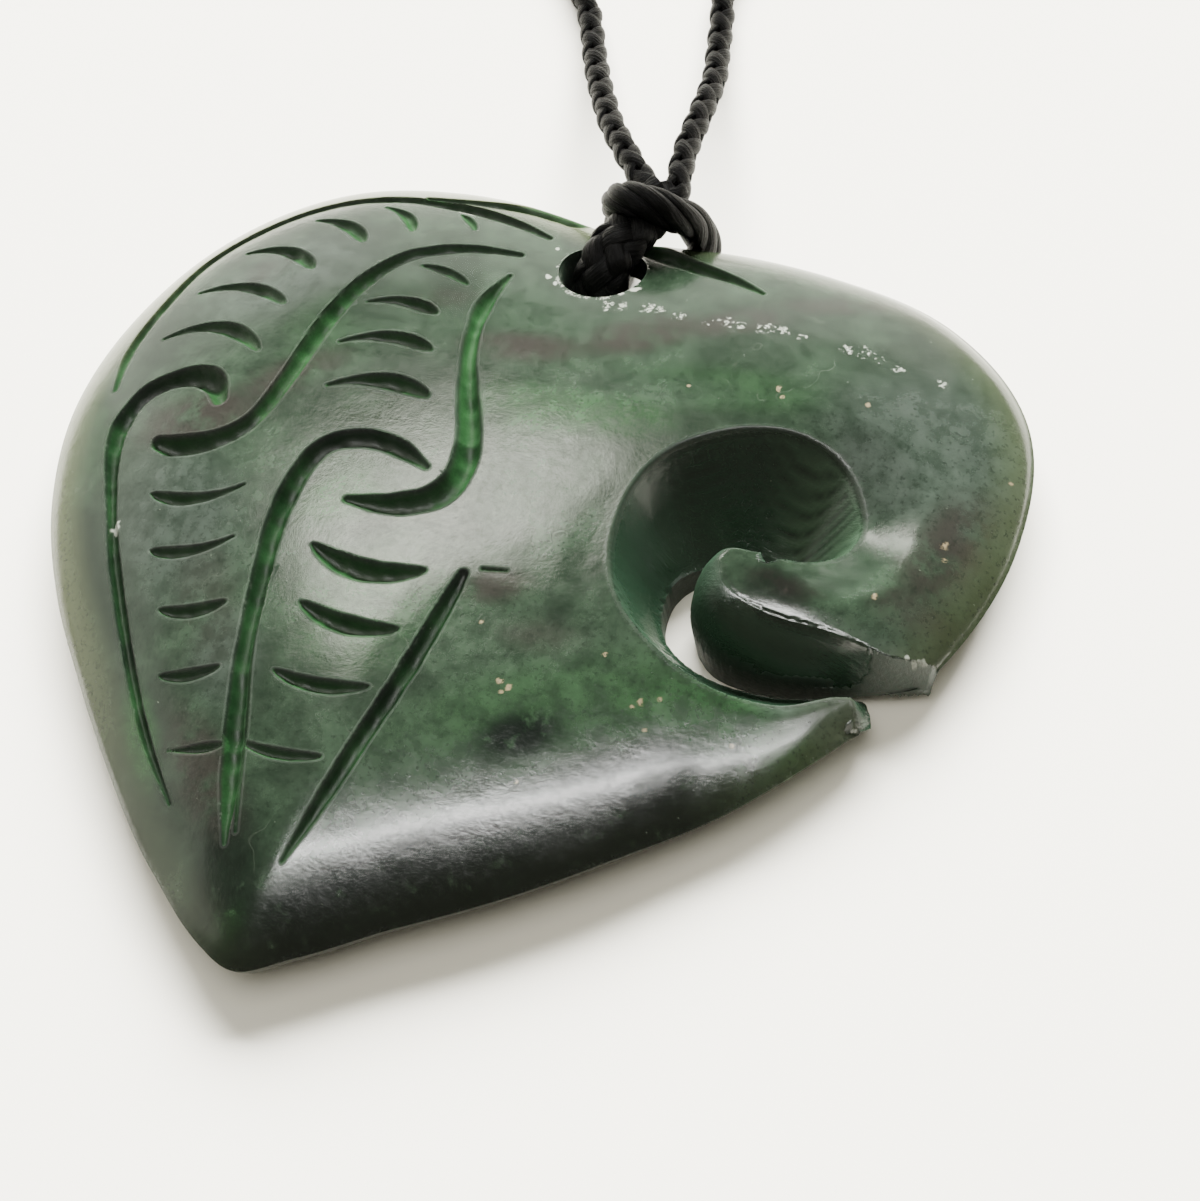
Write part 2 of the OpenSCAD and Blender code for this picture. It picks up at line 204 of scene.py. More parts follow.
# scattered dots: every cell of a given size holds one, kept if its own random value is below the share
def makeSpeckGroup():
    group, given, out = newGroup("speck mask", [("Place", "Vector", None), ("Cell mm", "Float", 2.0),
                                                ("Radius", "Float", 0.1), ("Share", "Float", 0.3)],
                                 [("Mask", "Float"), ("Random", "Float")])
    scale = math2(group, "DIVIDE", 1.0, given["Cell mm"])
    shake = add(group, "TexNoise", {"Vector": given["Place"], "Scale": 4.0, "Detail": 2.0})
    bend = add(group, "VectorMath", {0: shake.outputs["Color"], 1: (0.5, 0.5, 0.5)}, operation="SUBTRACT")
    bent = add(group, "VectorMath", {0: bend.outputs[0], 1: (0.25, 0.25, 0.25), 2: given["Place"]},
               operation="MULTIPLY_ADD")
    cells = add(group, "TexVoronoi", {"Vector": bent.outputs[0], "Scale": scale})
    near = add(group, "MapRange", {"Value": cells.outputs["Distance"], "From Min": given["Radius"],
                                   "From Max": 0.0})
    pick = add(group, "SeparateColor", {"Color": cells.outputs["Color"]})
    kept = math2(group, "LESS_THAN", pick.outputs[0], given["Share"])
    strong = math2(group, "MULTIPLY", near.outputs["Result"], 2.5, True)
    group.links.new(math2(group, "MULTIPLY", strong, kept), out["Mask"])
    group.links.new(pick.outputs[1], out["Random"])
    return group


cloudGroup = makeCloudGroup()
speckGroup = makeSpeckGroup()


def cloud(tree, place, size, low, high, detail=4.0):
    return useGroup(tree, cloudGroup, {"Place": place, "Size mm": size, "Detail": detail, "Low": low,
                                       "High": high}).outputs["Mask"]


def specks(tree, place, cell, radius, share):
    return useGroup(tree, speckGroup, {"Place": place, "Cell mm": cell, "Radius": radius,
                                       "Share": share}).outputs


# colours of the greenstone, from its body to what is left in its cuts
# pale is painted light on the rim and scrollLit painted light on the ramp's lit walls; dark and cutDark also
# give painted shade, grey is partly painted light and lip partly a painted highlight
greenstone = {"deep": (0.0085, 0.0145, 0.0088), "light": (0.0175, 0.0305, 0.018),
              "vivid": (0.0135, 0.043, 0.014), "grey": (0.029, 0.038, 0.031),
              "fleck": (0.0042, 0.0088, 0.0048), "plum": (0.0145, 0.0112, 0.0106),
              "dark": (0.0006, 0.0024, 0.0012), "pale": (0.056, 0.068, 0.032),
              "grain": (0.0022, 0.005, 0.0028), "vein": (0.05, 0.06, 0.045),
              "cut": (0.0115, 0.043, 0.0125), "cutDeep": (0.0058, 0.026, 0.007),
              "cutDark": (0.0015, 0.0065, 0.002), "scroll": (0.012, 0.027, 0.0155),
              "scrollLit": (0.05, 0.085, 0.053), "lip": (0.08, 0.1, 0.075), "tan": (0.13, 0.105, 0.06),
              "fleckWhite": (0.1, 0.12, 0.09), "chalk": (0.2, 0.215, 0.18), "sawn": (0.022, 0.025, 0.02),
              "polish": 0.13, "coat": 0.15}


# greenstone, painted with the vertex colours tone, carve and spot, which hold painted light and shade besides
# the stone's own tones
def makeStoneMaterial():
    look = greenstone
    material, tree, shader, place = newMaterial("greenstone", {
        "IOR": 1.6, "Specular IOR Level": 0.36, "Coat Roughness": 0.1, "Coat IOR": 1.5})
    painted = [add(tree, "Attribute", attribute_name=name) for name in ("tone", "carve", "spot")]
    (plum, pale, dark), (groove, lip, scroll), (chip, tan, vivid) = (
        add(tree, "SeparateColor", {"Color": node.outputs["Color"]}).outputs for node in painted)
    chalk, rough, grey = (node.outputs["Alpha"] for node in painted)

    # clouds, flecks and thin veins of the body
    big = cloud(tree, place, 8.0, 0.38, 0.62)
    fine = cloud(tree, place, 1.3, 0.3, 0.72, 6.0)
    grain = cloud(tree, place, 0.3, 0.5, 0.75, 3.0)
    plumMask = times(tree, plum, cloud(tree, place, 2.6, 0.25, 0.55, 6.0))
    darkMask = times(tree, dark, cloud(tree, place, 1.1, 0.26, 0.44, 6.0))
    warp = add(tree, "TexNoise", {"Vector": place, "Scale": 0.07, "Detail": 4.0, "Roughness": 0.55})
    veinLine = math2(tree, "ABSOLUTE", math2(tree, "SUBTRACT", warp.outputs["Fac"], 0.53))
    vein = add(tree, "MapRange", {"Value": veinLine, "From Min": 0.003, "From Max": 0.0})
    veinMask = times(tree, vein.outputs["Result"], cloud(tree, place, 4.0, 0.5, 0.62))
    # cuts are fresh bright green, darker under dark patches and painted shade, and chipped along their lips,
    # where the pale colour is partly a painted highlight
    green = mixColor(tree, fine, look["cut"], look["cutDeep"])
    green = mixColor(tree, dark, green, look["cutDark"])
    # painted light on the ramp's top and right walls, through the vivid mask
    scrollColor = mixColor(tree, vivid, look["scroll"], look["scrollLit"])
    # pale lips: chips, and partly a painted highlight along the edges of the cuts
    lipMask = times(tree, lip, cloud(tree, place, 0.35, 0.58, 0.68, 3.0))
    # tan crystals, white flecks, chips and the dotted chalk line
    tanMask = times(tree, tan, cloud(tree, place, 0.16, 0.36, 0.5, 2.0))
    white, _ = specks(tree, place, 1.1, 0.045, 0.25)
    dots = times(tree, chalk, cloud(tree, place, 0.42, 0.47, 0.56, 2.0))
    dots = times(tree, dots, cloud(tree, place, 0.12, 0.4, 0.55, 2.0))
    chalkMask = math2(tree, "MAXIMUM", dots, chip)
    sawnMask = times(tree, times(tree, rough, grey), cloud(tree, place, 0.5, 0.3, 0.6))

    # each layer covers the ones before it: its mask, how far it covers, its colour
    color = mixColor(tree, big, look["deep"], look["light"])
    for mask, share, paint in ((vivid, 0.8, look["vivid"]), (grey, 0.75, look["grey"]),
                               (fine, 0.68, look["fleck"]), (plumMask, 0.9, look["plum"]),
                               (darkMask, 1, look["dark"]), (pale, 1, look["pale"]),
                               (grain, 0.5, look["grain"]), (veinMask, 0.25, look["vein"]),
                               (groove, 0.85, green), (scroll, 0.85, scrollColor),
                               (lipMask, 0.2, look["lip"]), (tanMask, 1, look["tan"]),
                               (white, 0.6, look["fleckWhite"]), (chalkMask, 1, look["chalk"]),
                               (sawnMask, 1, look["sawn"])):
        color = mixColor(tree, times(tree, mask, share, True), color, paint)
    tree.links.new(color, shader.inputs["Base Color"])

    # satin polish, duller in the cuts
    smudge = cloud(tree, place, 3.0, 0.3, 0.7)
    satin = cloud(tree, place, 0.5, 0.45, 0.7, 4.0)
    streak = add(tree, "Mapping", {"Vector": place, "Rotation": (0, 0, 0.7), "Scale": (1, 9, 1)})
    scratch = add(tree, "TexNoise", {"Vector": streak.outputs[0], "Scale": 1.1, "Detail": 3.0})
    dull = weighted(tree, look["polish"], ((smudge, 0.05), (scratch.outputs["Fac"], 0.05), (groove, 0.28),
                                           (rough, 0.34), (lip, 0.6), (satin, 0.05), (chalkMask, 0.35)), True)
    tree.links.new(dull, shader.inputs["Roughness"])
    bare = math2(tree, "MAXIMUM", math2(tree, "MAXIMUM", rough, groove), lip)
    coat = math2(tree, "SUBTRACT", look["coat"], times(tree, bare, look["coat"]), True)
    tree.links.new(coat, shader.inputs["Coat Weight"])

    # skin: polishing haze, hollows of the grinding, and tool marks in the cuts
    haze = add(tree, "TexNoise", {"Vector": place, "Scale": 4.6, "Detail": 4.0, "Roughness": 0.65})
    wave = add(tree, "TexNoise", {"Vector": place, "Scale": 0.45, "Detail": 2.0})
    dimple = add(tree, "TexNoise", {"Vector": place, "Scale": 1.7, "Detail": 3.0, "Roughness": 0.6})
    marks = add(tree, "TexNoise", {"Vector": place, "Scale": 3.2, "Detail": 5.0, "Roughness": 0.7})
    tool = add(tree, "Mapping", {"Vector": place, "Rotation": (0, 0, 1.0), "Scale": (1.5, 10, 1)})
    toolMarks = add(tree, "TexNoise", {"Vector": tool.outputs[0], "Scale": 1.0, "Detail": 4.0,
                                       "Roughness": 0.6})
    pits, _ = specks(tree, place, 0.55, 0.07, 0.3)
    marked = weighted(tree, 0.0, ((scroll, 0.018), (rough, 0.045), (groove, 0.03)))
    height = weighted(tree, 0.0, (
        (haze.outputs["Fac"], 0.008), (wave.outputs["Fac"], 0.022), (dimple.outputs["Fac"], 0.007),
        (marks.outputs["Fac"], marked), (toolMarks.outputs["Fac"], times(tree, scroll, 0.03)), (pits, -0.006)))
    bump = add(tree, "Bump", {"Height": height, "Distance": 0.001, "Strength": 1.0})
    tree.links.new(bump.outputs[0], shader.inputs["Normal"])
    return material


# black waxed cord, with a little dust and lint
cordLook = {"deep": (0.0003, 0.0003, 0.0003), "light": (0.0022, 0.0022, 0.0024),
            "dust": (0.008, 0.008, 0.008), "lint": (0.12, 0.12, 0.11), "polish": 0.36}


# waxed thread: uv runs round the strand and, in millimetres, along it
def makeCordMaterial():
    material, tree, shader, place = newMaterial("waxed cord", {"IOR": 1.45, "Specular IOR Level": 0.1})
    run = add(tree, "UVMap", uv_map="run").outputs[0]
    twist = add(tree, "Mapping", {"Vector": run, "Scale": (9, 0.5, 1)})
    threads = add(tree, "TexNoise", {"Vector": twist.outputs[0], "Scale": 1.0, "Detail": 4.0,
                                     "Roughness": 0.65}).outputs["Fac"]
    lines = add(tree, "MapRange", {"Value": threads, "From Min": 0.36, "From Max": 0.64}).outputs["Result"]
    dust = cloud(tree, place, 0.5, 0.5, 0.72, 5.0)
    lint, _ = specks(tree, place, 0.55, 0.06, 0.12)
    color = mixColor(tree, lines, cordLook["deep"], cordLook["light"])
    for mask, share, paint in ((dust, 0.3, cordLook["dust"]), (lint, 0.8, cordLook["lint"])):
        color = mixColor(tree, times(tree, mask, share), color, paint)
    tree.links.new(color, shader.inputs["Base Color"])
    tree.links.new(weighted(tree, cordLook["polish"], [(threads, 0.2)]), shader.inputs["Roughness"])
    bump = add(tree, "Bump", {"Height": lines, "Distance": 0.00006, "Strength": 1.0})
    tree.links.new(bump.outputs[0], shader.inputs["Normal"])
    return material


stoneMaterial = makeStoneMaterial()
cordMaterial = makeCordMaterial()
print("materials made")


# the stone's outline: bearing from +X in degrees, radius
rimRows = [(0, 30.8), (15, 33.0), (30, 34.1), (45, 32.2), (60, 28.6), (75, 25.1), (83, 23.7),
           (90, 23.1), (97, 23.7), (105, 25.0), (120, 28.1), (135, 30.8), (150, 31.8), (165, 31.6),
           (180, 30.8), (195, 29.2), (210, 27.7), (225, 27.0), (240, 27.8), (255, 30.1),
           (265, 32.3), (270, 32.9), (275, 31.2), (285, 28.4), (300, 26.5), (315, 25.9),
           (330, 26.6), (345, 28.1), (360, 30.8)]
stone = {"thick": 7.6, "rimTop": 2.6, "rimFoot": 1.3, "notchLift": 0.8, "rest": 0.55,
         "rimRoll": 0.5, "rollWide": 1.3, "rollBearing": 25, "rollEnds": (55, 35),
         "holeX": 0.3, "holeY": 18.5, "holeD": 5.7, "sharp": 55}


def rimCubic(bearing):
    i = max(k for k in range(len(rimRows) - 1) if rimRows[k][0] <= bearing)
    rows = [rimRows[i - 1] if i else (rimRows[-2][0] - 360, rimRows[-2][1]), rimRows[i], rimRows[i + 1],
            rimRows[i + 2] if i + 2 < len(rimRows) else (rimRows[1][0] + 360, rimRows[1][1])]
    slopes = [(rows[k + 1][1] - rows[k - 1][1]) / (rows[k + 1][0] - rows[k - 1][0]) for k in (1, 2)]
    wide = rows[2][0] - rows[1][0]
    t = (bearing - rows[1][0]) / wide
    return (rows[1][1] * (2 * t ** 3 - 3 * t ** 2 + 1) + wide * slopes[0] * (t ** 3 - 2 * t ** 2 + t)
            + rows[2][1] * (3 * t ** 2 - 2 * t ** 3) + wide * slopes[1] * (t ** 3 - t ** 2))


radii = [rimCubic(i / 4) for i in range(1440)]


def rimRadius(bearing):
    step = (bearing % 360) * 4
    i = int(step)
    return radii[i % 1440] * (1 - step + i) + radii[(i + 1) % 1440] * (step - i)


def bearingOf(x, y):
    return math.degrees(math.atan2(y, x)) % 360


# how far inside the outline a point is, and how far a bearing is turned from another
def insetAt(x, y):
    return rimRadius(bearingOf(x, y)) - math.hypot(x, y)


def turnedFrom(bearing, middle):
    return abs((bearing - middle + 180) % 360 - 180)


def rimLift(bearing):
    return stone["notchLift"] * max(0, 1 - ((bearing - 90) / 32) ** 2) ** 2


def frontZ(x, y):
    bearing = bearingOf(x, y)
    share = min(1, math.hypot(x, y) / rimRadius(bearing))
    edge = stone["rimTop"] + rimLift(bearing)
    return edge + (stone["thick"] - edge) * (1 - share ** 3) ** 0.8


def backZ(share, bearing):
    return ((stone["rimFoot"] + rimLift(bearing))
            * (max(0, share - stone["rest"]) / (1 - stone["rest"])) ** 2)


# scroll: crisp ridge x y and lip x y of the ramp, then wall x y and crest x y of the inner head
rampRows = [(28.2, -8.4, 28.7, -8.0), (27.0, -5.6, 27.5, -5.0), (25.9, -5.6, 26.2, -4.5),
            (22.9, -7.5, 21.9, -5.8), (18.9, -8.2, 17.8, -5.9), (15.3, -7.2, 14.8, -4.8),
            (12.2, -5.1, 13.3, -2.9), (10.4, -2.0, 13.0, -0.6), (9.9, 2.2, 13.9, 1.1),
            (11.1, 5.8, 15.2, 2.1), (14.4, 8.6, 16.4, 2.6), (18.0, 9.6, 17.6, 2.8),
            (21.1, 8.7, 18.6, 2.7), (23.2, 6.0, 19.3, 2.3), (23.1, 3.6, 19.6, 2.0),
            (21.8, 1.9, 19.7, 1.7), (20.1, 0.75, 19.6, 1.3)]
headRows = [(31.2, -1.5, 30.8, -0.9), (28.3, -2.7, 27.9, -2.1), (25.8, -3.7, 25.6, -2.2),
            (23.8, -4.4, 23.4, -2.35), (21.6, -4.9, 21.5, -2.6), (19.3, -5.0, 19.7, -2.6),
            (17.4, -4.7, 18.4, -2.3), (16.0, -3.8, 17.6, -1.7), (15.2, -2.6, 17.2, -1.0),
            (15.0, -1.2, 16.9, -0.6), (15.4, 0.0, 16.9, -0.2), (16.2, 0.8, 17.0, 0.1),
            (17.4, 0.9, 17.5, 0.4), (18.6, 0.9, 18.6, 0.6), (19.6, 1.3, 19.8, 1.0)]

# engraved lines, each a run of x, y and width
lineRows = {
    "rimLine": [(-27.5, 0.7, 0.3), (-28.4, 4, 0.8), (-28.3, 8, 0.85), (-27.3, 13, 0.8), (-24, 17.6, 0.8),
                (-20, 20.5, 0.85), (-15.5, 21.8, 1.0), (-11, 21.8, 1.15), (-7.5, 21.3, 0.9),
                (-4.5, 20.5, 0.4)],
    "notchLeft": [(-15, 22.4, 0.3), (-11, 23.0, 0.9), (-7.5, 23.6, 1.5), (-4.2, 23.6, 2.0)],
    "notchRight": [(0.9, 22.8, 2.2), (2.9, 21.9, 2.0), (6, 21.1, 1.4), (8.5, 20.7, 0.9), (11, 20, 0.3)],
    "leftHook": [(-18.8, 0.9, 1.1), (-19.8, 2.0, 1.7), (-21.2, 2.4, 1.9), (-23, 1.8, 1.7),
                 (-24.6, 0.4, 1.6), (-25.1, -2, 1.6), (-24.4, -4.4, 1.2), (-22.4, -7.9, 0.8),
                 (-20, -11.6, 0.9), (-16.1, -16.8, 0.8), (-12.1, -21.6, 0.7), (-8.1, -25.4, 0.25)],
    "sLine": [(-5.4, 18, 0.5), (-9, 17.4, 0.95), (-12.2, 15.7, 1.2), (-14, 12.8, 1.4), (-14.8, 9, 1.5),
              (-15, 3.5, 1.35), (-15.6, -0.2, 1.3), (-17.4, -2.2, 1.6), (-19.8, -3.1, 1.7),
              (-21.5, -3.1, 1.1)],
    "rightHook": [(-5, 15.8, 0.3), (-5.3, 12.9, 1.2), (-4.6, 9.5, 1.0), (-3.1, 6.1, 1.3),
                  (-1.2, 2.4, 1.6), (-0.6, -0.3, 1.9), (-1.3, -2.3, 1.9), (-3.6, -3.6, 1.5),
                  (-6.6, -4.1, 0.5)],
    "frondStem": [(-2.8, -0.4, 0.5), (-5.2, 0.4, 1.3), (-7.6, 0.4, 1.4), (-9.7, -0.7, 1.4),
                  (-10.4, -3, 1.5), (-10.2, -6.6, 1.4), (-9.2, -10.7, 1.3), (-7.7, -15.8, 1.3),
                  (-6.2, -19.6, 1.5), (-4.8, -23.2, 1.4), (-3.4, -26.8, 0.3)],
    "stemEdge": [(-9.1, -10.4, 0.25), (-7.3, -15.6, 0.4), (-5.4, -20, 0.45), (-3.0, -26, 0.25)],
    "middleLine": [(2.9, -6.8, 0.7), (2.8, -9.5, 1.1), (2.5, -14, 1.2), (1.8, -19, 1.1),
                   (1.2, -23, 0.9), (0.5, -26.8, 0.2)],
    "nick": [(3.9, -6.1, 0.3), (5.5, -5.7, 0.2)],
}
# painted shade: how dark the green in a line is
lineShade = {"leftHook": 0.7, "frondStem": 0.55, "middleLine": 0.7, "stemEdge": 0.6, "rimLine": 0.4,
             "nick": 0.6}
# leaf cuts: start x y, end x y, rise of the bow, width, and which end is the fat one
leafRows = [(-26.1, 5.2, -18.2, 5.2, 1.4, 1.05, 1), (-25.9, 9.6, -18.6, 9.4, 0.9, 0.9, 1),
            (-24.5, 13.8, -18.4, 12.9, 0.9, 1.0, 1), (-21.2, 17.9, -16.3, 16.2, 0.6, 0.95, 1),
            (-17, 20.3, -13.6, 18.1, 0.5, 0.75, 1), (-11.4, 20.9, -9.6, 19.5, 0.15, 0.45, 0),
            (-11, 14.9, -7.2, 14.1, 0.3, 0.6, 0), (-12.9, 10.8, -7.9, 11.1, 0.5, 0.9, 1),
            (-13, 7.1, -6.7, 8.1, 0.75, 0.95, 1), (-12, 3.6, -5.2, 4.6, 0.8, 1.15, 1),
            (-19.7, -6.8, -13.5, -4.8, -0.8, 0.85, -1), (-17.6, -10.6, -12.3, -8.4, -0.6, 0.8, -1),
            (-14.9, -14.2, -10.6, -12.7, -0.45, 0.85, 0), (-12.7, -18.2, -8.9, -16.8, -0.3, 0.75, 0),
            (-9.8, -22.4, -6.3, -21.3, -0.15, 0.55, 1), (-7, -7.7, 0.6, -7.3, -0.95, 1.35, 0),
            (-5.8, -11.6, 0.9, -11.5, -0.65, 1.1, 0), (-5.3, -16.2, 0.9, -15.5, -0.55, 0.85, 0),
            (-5.2, -20.9, 0.2, -20.4, -0.35, 0.65, 0)]
engraving = {"deep": 1.25, "fade": 1.1, "leafWide": 1.12}

# level collar outside the scroll's ridge: number of the ramp row, width, and how far it dips inward
collarRows = [(0, 0, 0), (2, 0.3, 0), (3, 0.6, 0), (4, 0.5, 0), (5, 0.8, 0), (6, 1.2, 0), (7, 0.6, 0),
              (8, 0, 0), (10, 0, 0), (11, 1.8, 0.05), (12, 3.4, 0.08), (13, 3.8, 0.1), (14, 3.9, 0.1),
              (15, 3.4, 0.08), (15.6, 2.0, 0.04), (16, 0, 0)]
# soft step that runs from the nick to the scroll, with lower ground on its near side
creaseRows = [(2.5, -5.9), (3.9, -6.2), (6.5, -6.5), (9.5, -6.5), (11.0, -6.4), (12.6, -6.9), (14.4, -7.9),
              (16.2, -8.8), (18.2, -9.3)]
crease = {"drop": 0.2, "wide": 1.9, "reach": 9.0}
# crest of the inner head, where the dome begins to roll over: x, y and share of the roll's drop
headRoll = {"drop": 0.3, "reach": 2.0, "lean": 0.1}
rollRows = [(17.3, -1.7, 0), (18.6, -2.4, 0.35), (20.3, -2.6, 1), (22.4, -2.5, 1), (25.0, -2.2, 0.2),
            (27.9, -2.1, 0)]


def treeOf(points):
    tree = kdtree.KDTree(len(points))
    for i, p in enumerate(points):
        tree.insert((p[0], p[1], 0), i)
    tree.balance()
    return tree


def between(rows, at):
    for a, b in zip(rows, rows[1:]):
        if at <= b[0]:
            t = (at - a[0]) / (b[0] - a[0])
            return [p + (q - p) * t for p, q in zip(a[1:], b[1:])]
    return rows[-1][1:]


# cross sections of the scroll, close enough to find the nearest by distance
perRow = 20
rampSections = smoothRows(rampRows, perRow)
headSections = smoothRows(headRows, perRow)
ridgeTree = treeOf(rampSections)
creaseLine = smoothRows(creaseRows, 10)
creaseTree = treeOf(creaseLine)


# smaller of two heights, with the edge between them rounded over a short way
def softMin(a, b, soft):
    h = max(soft - abs(a - b), 0) / soft
    return min(a, b) - h * h * soft / 4


# the collar keeps the ground level outside the scroll's ridge
def collarDrop(x, y, z):
    place, i, far = ridgeTree.find((x, y, 0))
    wide, dip = between(collarRows, i / perRow)
    if wide <= 0 or far >= wide + 2:
        return 0
    a, b = rampSections[max(i - 6, 0)], rampSections[min(i + 6, len(rampSections) - 1)]
    long = math.hypot(b[0] - a[0], b[1] - a[1])
    outer = frontZ(place.x - (b[1] - a[1]) / long * wide, place.y + (b[0] - a[0]) / long * wide)
    level = outer - dip * (wide - far)
    return (z - softMin(z, level, 0.12)) * fade(far, wide + 2, wide + 0.8) * clamp(wide * 2)


def creaseDrop(x, y):
    place, i, far = creaseTree.find((x, y, 0))
    last = len(creaseLine)
    a, b = creaseLine[max(i - 1, 0)], creaseLine[min(i + 1, last - 1)]
    if far >= crease["reach"] or (b[0] - a[0]) * (y - place.y) - (b[1] - a[1]) * (x - place.x) >= 0:
        return 0
    share = fade(i, 0, 25) * fade(i, last, 0.3 * last)
    return crease["drop"] * share * fade(far, 0, crease["wide"]) * fade(far, crease["reach"], crease["wide"])


# the rim rolls over on the right side only
def rimDrop(x, y):
    inset = insetAt(x, y)
    if inset >= stone["rollWide"]:
        return 0
    turned = turnedFrom(bearingOf(x, y), stone["rollBearing"])
    out = 1 - clamp(inset / stone["rollWide"])
    return stone["rimRoll"] * fade(turned, *stone["rollEnds"]) * (1 - math.sqrt(1 - out ** 2))


def headDrop(x, y):
    if not rollRows[0][0] < x < rollRows[-1][0]:
        return 0
    crestY, share = between(rollRows, x)
    return headRoll["drop"] * share * (1 - clamp((y - crestY) / headRoll["reach"])) ** 2


def domeZ(x, y):
    z = frontZ(x, y)
    return z - collarDrop(x, y, z) - creaseDrop(x, y) - rimDrop(x, y) - headDrop(x, y)


# close samples along every cut: place, half width, depth and shade
def grooveSamples():
    samples = []

    def run(rows, deep, shade=0.0):
        for a, b in zip(rows, rows[1:]):
            steps = max(1, int(math.hypot(b[0] - a[0], b[1] - a[1]) / 0.1))
            for k in range(steps):
                x, y, w = (p + (q - p) * k / steps for p, q in zip(a, b))
                half = max(0.08, w / 2 * (1 + 0.1 * wobble(x, y, 1.4)))
                samples.append((x, y, half, deep * half * (1 + 0.25 * wobble(x, y, 0.9, 5)),
                                clamp(shade * (1 + 0.9 * wobble(x, y, 3.5, 7)))))

    for name, rows in lineRows.items():
        run(smoothRows(rows, 6), engraving["deep"], lineShade.get(name, 0.0))
    for x0, y0, x1, y1, bow, width, fat in leafRows:
        along = Vector((x1 - x0, y1 - y0))
        side = Vector((-along.y, along.x)).normalized()
        rows = []
        for k in range(21):
            t = k / 20
            p = Vector((x0, y0)) + along * t + side * bow * 4 * t * (1 - t)
            peak = t ** 1.8 if fat > 0 else 1 - (1 - t) ** 1.8 if fat < 0 else t
            wide = engraving["leafWide"] * width * (0.2 + 0.8 * math.sin(math.pi * peak) ** 0.6)
            rows.append((p.x, p.y, wide))
        run(rows, engraving["deep"])
    return samples


grooves = grooveSamples()
grooveTree = treeOf(grooves)
widest = max(g[2] for g in grooves)


# how far outside the nearest cut a point is, and how much painted shade darkens that cut
def outsideCut(x, y):
    _, i, far = grooveTree.find((x, y, 0))
    return far - grooves[i][2], grooves[i][4]


# depth of the cuts at a point, and its share of their full depth
def cutDepth(x, y):
    depth = 0
    share = 0
    for _, i, far in grooveTree.find_range((x, y, 0), widest):
        half, deep = grooves[i][2:4]
        if far < half:
            part = 1 - (far / half) ** 2.2
            depth = max(depth, deep * part)
            share = max(share, part)
    return depth * fade(insetAt(x, y), 0.0, engraving["fade"]), share


def sectionTree(sections):
    points = []
    for i, (ax, ay, bx, by) in enumerate(sections):
        for k in range(13):
            t = k / 12
            points.append((ax + (bx - ax) * t, ay + (by - ay) * t, i))
    return points, treeOf(points)


rampPoints, rampTree = sectionTree(rampSections)
headPoints, headTree = sectionTree(headSections)


# share of the way across the nearest section, its number, the distance to it and its width
def across(x, y, points, tree, sections):
    _, i, far = tree.find((x, y, 0))
    ax, ay, bx, by = sections[points[i][2]]
    square = (bx - ax) ** 2 + (by - ay) ** 2
    share = ((x - ax) * (bx - ax) + (y - ay) * (by - ay)) / square
    return share, points[i][2], far, math.sqrt(square)


def rampAt(x, y):
    t, i, far, wide = across(x, y, rampPoints, rampTree, rampSections)
    return 1 - t, i, far, wide


def headAt(x, y):
    return across(x, y, headPoints, headTree, headSections)


# floor of the ramp and of the inner head's slope, both lower towards the eye and the mouth
scroll = {"rampLow": 1.9, "rampSink": 1.4, "rampSinkRows": (7.5, 10), "hollow": 1.35, "soft": 0.12,
          "headLow": 2.1, "headSink": 2.0, "headSinkRows": (3.5, 0.8), "headSoft": 0.1}


def scrollZ(x, y, z):
    t, i, far, _ = rampAt(x, y)
    if far < 0.9:
        top = domeZ(*rampSections[i][:2])
        low = scroll["rampLow"] - scroll["rampSink"] * fade(i / perRow, *scroll["rampSinkRows"])
        z = softMin(z, low + (top - low) * max(t, 0) ** scroll["hollow"], scroll["soft"])
    u, i, far, _ = headAt(x, y)
    if far < 0.7 and u < 1.05:
        top = domeZ(*headSections[i][2:])
        low = scroll["headLow"] - scroll["headSink"] * fade(i / perRow, *scroll["headSinkRows"])
        mouth = fade(i / len(headSections), 0.5, 0.2)
        u = clamp(u)
        lean = headRoll["lean"]
        roll = (math.sqrt(1 - (1 - u) ** 2) * (1 - lean) + lean * u) * (1 - mouth)
        roll += mouth * (0.12 + 0.88 * u ** 0.9)
        z = softMin(z, low + (top - low) * roll, scroll["headSoft"])
    return z


# chalk marks, pale chips and tan crystals: x, y, radius
chalkRows = [(2.4, 15.3, 0.4), (3.2, 15.6, 0.35), (4.9, 15.9, 0.4), (5.5, 16.0, 0.3), (7.0, 15.9, 0.35),
             (8.9, 16.0, 0.3), (10.0, 16.4, 0.4), (11.0, 16.5, 0.3), (12.4, 16.8, 0.45), (13.4, 17.1, 0.4),
             (14.9, 17.0, 0.3), (17.8, 17.1, 0.35), (18.9, 17.2, 0.45), (20.0, 17.1, 0.3), (21.3, 16.9, 0.3),
             (24.0, 17.0, 0.3)]
chipRows = [(-21.2, -9.4, 0.4), (29.6, -1.5, 0.22), (29.1, -1.8, 0.16), (28.7, -1.7, 0.1), (-2.6, 16.6, 0.2),
            (-3.5, 19.6, 0.14), (3.1, 17.4, 0.26), (2.5, 16.7, 0.18), (-1.9, 16.1, 0.15)]
tanRows = [(8.0, -12.5, 0.2), (8.6, -12.7, 0.18), (8.3, -13.1, 0.12), (16.0, -10.7, 0.2), (15.7, -11.1, 0.12),
           (17.0, -10.1, 0.12), (21.5, -10.8, 0.12), (16.8, -12.1, 0.12), (20.8, 13.2, 0.16), (28.3, 5.8, 0.2),
           (28.6, 4.9, 0.13), (25.8, 0.8, 0.16), (15.3, 12.2, 0.2), (15.8, 11.7, 0.13), (10.1, 10.5, 0.12),
           (30.2, 12, 0.12), (13, -8.8, 0.13), (5.3, -9.3, 0.12), (11.2, -17.6, 0.1)]
spotRows = chalkRows + chipRows + tanRows
